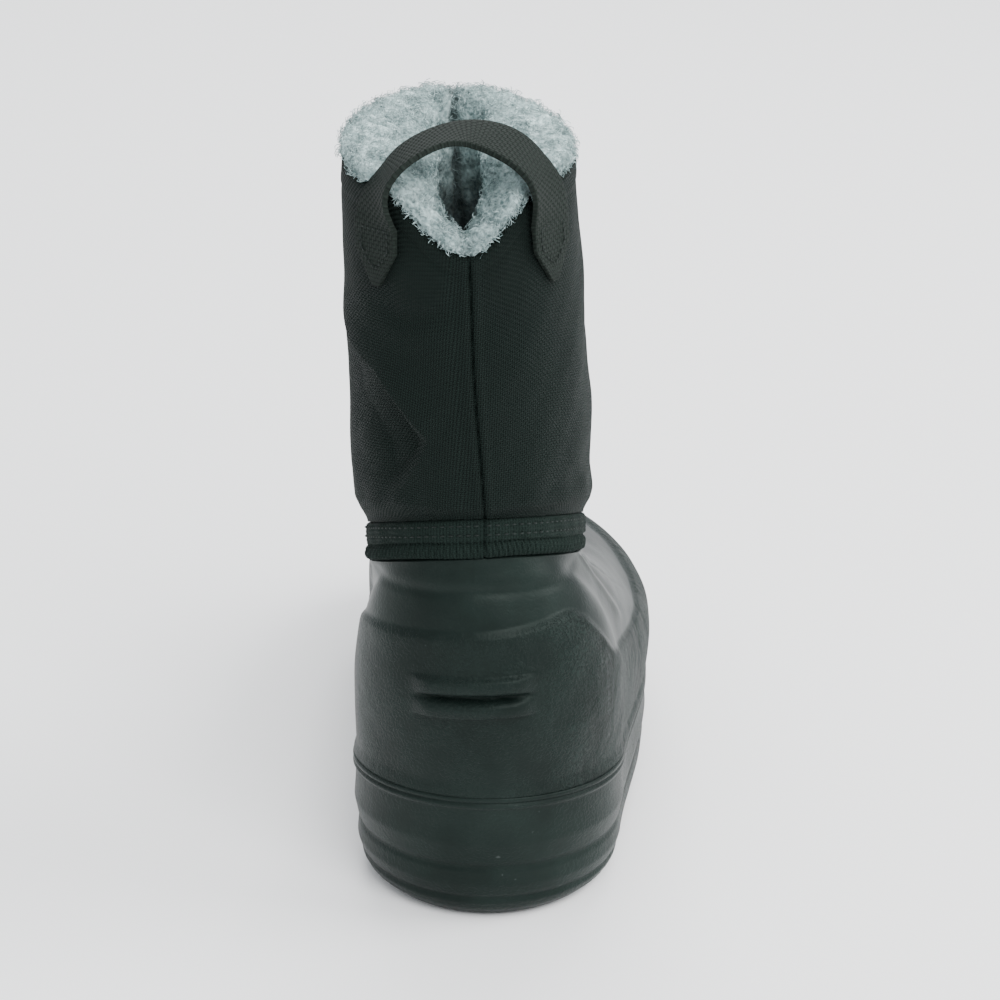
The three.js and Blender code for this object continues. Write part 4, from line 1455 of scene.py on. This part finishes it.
@dataclass
class PullLoop:
    """The webbing loop over the notch, its pointed ends sewn flat on the shaft."""

    form: BootForm
    finishes: Finishes
    width: float = 17.5
    thickness: float = 1.8
    anchor: float = math.radians(41.5)
    drop: float = 29.0
    sewn: float = 19.0
    point: float = 11.0
    rise: float = 16.0
    forward: float = 5.0
    bow: float = 6.0
    tilt: float = -0.45
    flare: float = 1.0
    turn_out: float = 1.5
    turn_at: float = 0.17
    turn_width: float = 0.11
    stitch_pitch: float = 2.3
    stitch_inset: float = 3.0
    cross_seam: float = 1.5
    tip_seam: float = 5.0

    def build(self) -> list[bpy.types.Object]:
        """Builds and dresses the webbing and the stitches of its ends.

        Returns:
            The webbing and the stitches.
        """
        centre, across, outward, width = self.path()
        loop = self.webbing(centre, across, outward, width)
        stitches = self.stitches(centre, across, outward, width)
        loop.data.materials.append(self.finishes.webbing)
        stitches.data.materials.append(self.finishes.thread)
        for made in (loop, stitches):
            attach(made, "root")
        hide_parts("pull_loop")
        return [loop, stitches]

    def _on_shaft(self, angle: float, drop: float) -> tuple[np.ndarray, np.ndarray]:
        """A place on the shaft where the webbing lies, and the way across it.

        Args:
            angle: Its angle round the shaft.
            drop: How far below the collar, in millimetres.

        Returns:
            The place and the unit way across the webbing.
        """
        form = self.form
        share = 1 - drop / (form.collar.z_back - form.ankle.z_back)
        away = form.seat + self.thickness / 2
        at, level = np.array(angle), np.array(share)
        across = form.shaft(at + 0.05, level, away) - form.shaft(at - 0.05, level, away)
        return form.shaft(at, level, away), across / np.linalg.norm(across)

    def path(self) -> tuple[np.ndarray, np.ndarray, np.ndarray, np.ndarray]:
        """Works out the webbing's run from one sewn end to the other.

        Returns:
            Middles, ways across, ways out, and widths, in millimetres.
        """
        sewn_steps, arc_steps = 17, 61
        ends = []
        drops = [self.drop - self.sewn * j / (sewn_steps - 1) for j in range(sewn_steps)]
        for angle in (self.form.shaft_twist - self.anchor, self.form.shaft_twist + self.anchor):
            ends.append([self._on_shaft(angle, drop) for drop in drops])
        start, finish = ends[0][-1], ends[1][-1]
        places, ways = [p for p, _ in ends[0]], [w for _, w in ends[0]]
        for j in range(arc_steps):
            t = (j + 1) / (arc_steps + 1)
            turn = math.pi * t
            middle = mix(start[0], finish[0], (1 - math.cos(turn)) / 2)
            middle[2] += (self.drop - self.sewn + self.rise) * math.sin(turn) ** 0.75
            middle[1] += self.forward * math.sin(turn) ** 4 - self.bow * math.sin(turn) * math.cos(turn) ** 2
            way = mix(start[1], -finish[1], t)
            turned = bump(t - self.turn_at, self.turn_width)
            turned += 0.2 * bump(t - (1 - self.turn_at), self.turn_width)
            way[1] -= self.turn_out * turned
            way[2] -= math.sin(turn) ** 2 * (self.tilt + self.flare * t)
            places.append(middle)
            ways.append(way)
        places += [p for p, _ in reversed(ends[1])]
        ways += [-w for _, w in reversed(ends[1])]
        centre, across = np.array(places), np.array(ways)
        along = np.gradient(centre, axis=0)
        along /= np.linalg.norm(along, axis=1, keepdims=True)
        across -= along * np.sum(across * along, axis=1, keepdims=True)
        across /= np.linalg.norm(across, axis=1, keepdims=True)
        outward = np.cross(across, along)
        length = run_length(centre)
        from_end = np.minimum(length, length[-1] - length)
        width = np.minimum(self.width, 3 + (self.width - 3) * from_end / self.point)
        return centre, across, outward, width

    def nearness(self, points: np.ndarray) -> np.ndarray:
        """How near the webbing each point lies.

        Args:
            points: Points in millimetres, last axis x, y and z.

        Returns:
            1 inside the webbing, easing to 0 a little away from it.
        """
        centre, across, outward, width = self.path()
        flat = points.reshape(-1, 3)
        station = np.argmin(((flat[:, None] - centre[None]) ** 2).sum(axis=2), axis=1)
        away = flat - centre[station]
        aside = np.abs(np.sum(away * across[station], axis=1)) - width[station] / 2
        off = np.abs(np.sum(away * outward[station], axis=1)) - self.thickness / 2
        near = (1 - smooth((aside - 0.3) / 2.0)) * (1 - smooth((off - 0.5) / 1.8))
        return near.reshape(points.shape[:-1])

    def webbing(
        self, centre: np.ndarray, across: np.ndarray, outward: np.ndarray, width: np.ndarray
    ) -> bpy.types.Object:
        """Builds the ribbed strap with rounded edges.

        Args:
            centre: Middles of its run.
            across: Ways across it.
            outward: Ways out of its face.
            width: Its width at each place.

        Returns:
            The strap.
        """
        half = self.thickness / 2
        face = np.linspace(-1, 1, 15)
        edge = [(1.0, 0.75), (1.012, 0.3), (1.012, -0.3), (1.0, -0.75)]
        section = [(u, 1.0 - 0.1 * abs(u) ** 6) for u in face] + edge
        section += [(-u, -1.0 + 0.1 * abs(u) ** 6) for u in face] + [(-u, -v) for u, v in edge]
        length = run_length(centre)
        from_end = np.minimum(length, length[-1] - length)
        pressed = 1 - 0.25 * smooth((self.sewn - from_end) / 4)
        rows = []
        for u, v in section:
            rows.append(centre + across * (u * width / 2)[:, None] + outward * (v * half * pressed)[:, None])
        points = np.stack(rows, axis=1)
        chart_x = np.array([u for u, _ in section] + [section[0][0]]) * self.width / 2
        chart = np.stack(np.broadcast_arrays(chart_x[None, :], length[:, None]), axis=-1) * MM
        return Surface("webbing_loop", points, closed_rows=False, chart=chart).build()

    def stitches(
        self, centre: np.ndarray, across: np.ndarray, outward: np.ndarray, width: np.ndarray
    ) -> bpy.types.Object:
        """Sews a pointed outline and a cross seam on each end.

        Args:
            centre: Middles of the webbing's run.
            across: Ways across it.
            outward: Ways out of its face.
            width: Its width at each place; not used.

        Returns:
            The stitches.
        """
        length = run_length(centre)
        side, seam = self.width / 2 - self.stitch_inset, self.sewn - self.cross_seam
        outline = [(-side, seam), (-side, self.point), (0.0, self.tip_seam), (side, self.point)]
        outline += [(side, seam), (-side, seam)]
        spots, ways = [], []
        for (u0, s0), (u1, s1) in zip(outline, outline[1:]):
            span = math.hypot(u1 - u0, s1 - s0)
            count = max(2, round(span / self.stitch_pitch))
            for k in range(count):
                t = (k + 0.5) / count
                spots.append((mix(u0, u1, t), mix(s0, s1, t)))
                ways.append(((u1 - u0) / span, (s1 - s0) / span))
        places, along, outs = [], [], []
        for far in (False, True):
            for (u, s), (du, ds) in zip(spots, ways):
                k = int(np.argmin(np.abs(length - (length[-1] - s if far else s))))
                run = centre[min(k + 1, len(centre) - 1)] - centre[max(k - 1, 0)]
                run = run / np.linalg.norm(run)
                places.append(centre[k] + across[k] * u + outward[k] * (self.thickness / 2 * 0.75 + 0.12))
                along.append(across[k] * du + run * (-ds if far else ds))
                outs.append(outward[k])
        thread = Stitching(length=1.7, width=0.6, thickness=0.5)
        return thread.sew("loop_stitches", np.array(places), np.array(along), np.array(outs))


@dataclass
class Fleece:
    """The deep lining: a lumpy sleeve rolled out of the collar, with curling fibres."""

    form: BootForm
    finishes: Finishes
    loop: PullLoop
    depth: float = 9.0
    overhang: float = 0.1
    lobes: float = 18.0
    mean_radius: float = 40.0
    count: int = 280
    crowding: float = 0.2
    roll_rows: int = 26
    inner_rows: int = 62
    rim: range = range(7, 34)
    throat: range = range(24, 74)
    # Row from which the painted shade sets in down the throat.
    darkens_from: int = 30
    curls: int = 12500
    seed: int = 11

    def build(self) -> list[bpy.types.Object]:
        """Builds and dresses the sleeve and its fibres.

        Returns:
            The sleeve and the two layers of fibres.
        """
        points, out = self.surface()
        # Painted shade for the pile, darker down the throat and in the far rim's cleft.
        painted_shade = self.shade(len(points))
        lining = Surface("fleece_lining", points, masks={"painted_shade": painted_shade}).build()
        rim = self.fibres("fleece_rim_curls", points, out, painted_shade, self.rim, self.seed)
        throat = self.fibres("fleece_throat_curls", points, out, painted_shade, self.throat, self.seed + 1)
        for made in (lining, rim, throat):
            made.data.materials.append(self.finishes.fleece)
            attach(made, "root")
        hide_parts("lining")
        return [lining, rim, throat]

    def surface(self) -> tuple[np.ndarray, np.ndarray]:
        """Works out the sleeve's surface and the way out of it.

        Returns:
            The points in millimetres, and their unit normals.
        """
        form = self.form
        angle = seam_angles(form, self.count, self.crowding)
        lobe = self.lobes * np.abs(np.sin(angle - form.shaft_twist)) ** 1.1
        dip = 3.2 * np.maximum(np.sin(angle - math.radians(25)), 0) ** 3
        outside = -form.shaft_wall - form.seat
        inside = outside - self.depth
        low = form.clear_of_band
        wall = [form.shaft(angle, np.array(s), outside) for s in (low, 0.25, 0.4, 0.6, 0.8, 0.97)]
        keys = [0.0, 0.08, 0.22, 0.42, 0.62, 0.8, 1.0]
        outs = [outside, self.overhang - 1.5, self.overhang - 0.9, outside + 0.9, mix(outside, inside, 0.5)]
        outs += [inside + 1.4, inside]
        ups = [0.3, 0.9, 2.8, 5.0, 5.7, 4.4, 0.4]
        leans = [0.0, 0.0, 0.0, 0.0, 0.15, 0.5, 0.85]
        roll = []
        for place in np.linspace(0, 1, self.roll_rows):
            at = np.array(place)
            lean = float(curve(keys, np.array(leans), at)) * lobe
            ring = form.shaft(angle, np.array(1.0), float(curve(keys, np.array(outs), at)) - lean)
            ring[:, 2] += float(curve(keys, np.array(ups), at)) + 0.1 * lean - dip * smooth(at / 0.3)
            roll.append(ring)
        inner = []
        for share in np.linspace(0.98, low, self.inner_rows):
            pressed = float(mix(0.85, 0.0, smooth(np.array((0.85 - share) / 0.6))))
            inner.append(form.shaft(angle, np.array(share), inside - pressed * lobe))
        points = np.stack(wall + roll + inner)
        out = normals_of(points)
        shown = np.ones(len(points))
        first = self.rim.start
        shown[:first] = 0.0
        shown[first : first + 5] = (0.2, 0.35, 0.5, 0.7, 0.85)
        shown[-5:] = 0.3
        lumps = 1.1 * ripple(points, 12.0, 0.5) + 0.9 * ripple(points, 6.6, 1.7)
        lumps = lumps + 0.5 * ripple(points, 3.6, 2.9)
        around = form.turned(angle) * self.mean_radius
        cleft = -6.0 * bump(self._from_front(angle) + 2.5, 2.8) - 2.6 * bump(around, 2.6)
        near = self.loop.nearness(points)
        height = (lumps + cleft[None, :]) * (1 - near) - 1.3 * near
        return points + out * (height * shown[:, None])[..., None], out

    def shade(self, rows: int) -> np.ndarray:
        """Painted shade of the pile: darker towards the foot, where the inside lies in shade, and in the
        cleft of the far rim.

        Args:
            rows: The sleeve's number of rows.

        Returns:
            0 for no painted shade to 1 for the darkest, for each row and angle.
        """
        row = np.arange(rows)[:, None]
        down = smooth(-0.04 + 2.5 * (row - self.darkens_from) / (rows - 1 - self.darkens_from))
        angle = seam_angles(self.form, self.count, self.crowding)[None, :]
        cleft = 0.9 * bump(self._from_front(angle) + 1.0, 3.4) * smooth((row - 15) / 8)
        return np.maximum(down, cleft)

    def _from_front(self, angle: np.ndarray) -> np.ndarray:
        """Distance from the rim's front middle, round the sleeve, in millimetres."""
        return (math.pi - np.abs(self.form.turned(angle))) * self.mean_radius

    def fibres(
        self, name: str, points: np.ndarray, out: np.ndarray, painted_shade: np.ndarray, rows: range, seed: int
    ) -> bpy.types.Object:
        """Grows curling fibres over some rows of the sleeve.

        Args:
            name: The object's name.
            points: The sleeve's surface in millimetres.
            out: Its unit normals.
            painted_shade: The painted shade of the pile at each point of the sleeve.
            rows: The rows they grow from, fewer of them towards the last.
            seed: The draw's seed.

        Returns:
            The fibres as one object.
        """
        draw = np.random.default_rng(seed)
        weight = np.linspace(1.0, 0.4, len(rows))
        row = draw.choice(np.array(rows), self.curls, p=weight / weight.sum())
        column = draw.integers(0, self.count, self.curls)
        root = points[row, column] + draw.normal(0, 0.5, (self.curls, 3))
        normal = out[row, column]
        swirl = np.stack([ripple(root, 9.0, seed + k) for k in (0.3, 1.9, 3.1)], axis=-1) * 2
        aside = swirl + draw.normal(0, 0.7, (self.curls, 3))
        aside -= normal * np.sum(aside * normal, axis=1, keepdims=True)
        aside /= np.linalg.norm(aside, axis=1, keepdims=True)
        side = np.cross(normal, aside)
        bend = side * draw.choice([-1.0, 1.0], (self.curls, 1))
        length = draw.uniform(1.6, 3.6, (self.curls, 1))
        thick = draw.uniform(0.08, 0.14, (self.curls, 1))
        stops = ((-0.12, 0.0, 0.0), (0.26, 0.24, 0.05), (0.32, 0.62, 0.28), (0.06, 0.62, 0.66))
        runs = [root + length * (up * normal + on * aside + off * bend) for up, on, off in stops]
        keep = self.loop.nearness(runs[2]) + self.loop.nearness(runs[3]) < 0.25
        rings = []
        for centre, size in zip(runs[:3], (1.0, 0.95, 0.75)):
            for turn in (0.0, 2.1, 4.2):
                rings.append(centre + thick * size * (side * math.cos(turn) + normal * math.sin(turn)))
        rings.append(runs[3])
        faces = []
        for ring in (0, 3):
            for k in range(3):
                here, beside = ring + k, ring + (k + 1) % 3
                faces += [[here, beside, beside + 3], [here, beside + 3, here + 3]]
        faces += [[6 + k, 6 + (k + 1) % 3, 9] for k in range(3)]
        made = many(name, np.stack(rings, axis=1)[keep] * MM, np.array(faces))
        # Each fibre takes the painted shade of the point it grows from.
        shades = np.repeat(painted_shade[row, column][keep], len(rings))
        made.data.attributes.new("painted_shade", "FLOAT", "POINT").data.foreach_set("value", shades)
        return made


@dataclass
class Studio:
    """A pale floor, soft lights and the camera at the photograph's angle."""

    azimuth: float = math.radians(3.0)
    elevation: float = math.radians(22.0)
    distance: float = 1.0
    lens: float = 108.7
    target: tuple[float, float, float] = (0.002, 0.03, 0.118)

    def build(self) -> None:
        """Sets up floor, world, lights and camera."""
        self.floor()
        self.world()
        self.light("key", (0.7, -1.3, 1.6), 1.3, 46.0)
        self.light("side", (1.4, 0.1, 1.1), 1.0, 28.0)
        self.light("behind", (0.0, 1.4, 1.8), 1.4, 42.0)
        self.camera()

    def floor(self) -> None:
        """Lays the pale floor."""
        bm = bmesh.new()
        bmesh.ops.create_grid(bm, x_segments=1, y_segments=1, size=4.0)
        ground = object_from(bm, "studio_floor", shade_smooth=False)
        material = bpy.data.materials.new("pale floor")
        material.use_nodes = True
        shader = material.node_tree.nodes["Principled BSDF"]
        shader.inputs["Base Color"].default_value = (0.93, 0.93, 0.93, 1.0)
        shader.inputs["Roughness"].default_value = 0.9
        ground.data.materials.append(material)

    def world(self) -> None:
        """Gives an even pale surrounding light."""
        world = bpy.data.worlds.new("pale room")
        world.use_nodes = True
        world.node_tree.nodes["Background"].inputs["Color"].default_value = (0.93, 0.96, 1.0, 1.0)
        world.node_tree.nodes["Background"].inputs["Strength"].default_value = 1.15
        bpy.context.scene.world = world

    def light(self, name: str, place: tuple[float, float, float], size: float, power: float) -> None:
        """Hangs a soft square light that faces the boot.

        Args:
            name: The light's name.
            place: Where it hangs, in metres.
            size: Its side in metres.
            power: Its power in watts.
        """
        lamp = bpy.data.lights.new(name, "AREA")
        lamp.size = size
        lamp.energy = power
        made = bpy.data.objects.new(name, lamp)
        made.location = place
        made.rotation_mode = "QUATERNION"
        made.rotation_quaternion = (Vector(place) - Vector(self.target)).to_track_quat("Z", "Y")
        bpy.context.scene.collection.objects.link(made)

    def camera(self) -> None:
        """Places the camera behind the heel, a little above."""
        a, e = self.azimuth, self.elevation
        back = Vector((math.sin(a) * math.cos(e), -math.cos(a) * math.cos(e), math.sin(e)))
        lens = bpy.data.cameras.new("photo_camera")
        lens.lens = self.lens
        lens.clip_start, lens.clip_end = 0.05, 50.0
        made = bpy.data.objects.new("photo_camera", lens)
        made.location = Vector(self.target) + back * self.distance
        made.rotation_mode = "QUATERNION"
        made.rotation_quaternion = back.to_track_quat("Z", "Y")
        bpy.context.scene.collection.objects.link(made)
        bpy.context.scene.camera = made


def main() -> None:
    """Builds the boot's sub-assemblies in order and reports each piece."""
    logging.basicConfig(level=logging.INFO, format="%(message)s")
    form, finishes = BootForm(), Finishes()
    loop = PullLoop(form, finishes)
    foot, ankle, leg = Foot(form, finishes), Ankle(form, finishes), Leg(form, finishes)
    for assembly in (foot, ankle, leg, loop, Fleece(form, finishes, loop)):
        for made in assembly.build():
            LOG.info("%s: %d faces", made.name, len(made.data.polygons))
    Studio().build()
    bpy.context.view_layer.update()


if __name__ == "__main__":
    main()
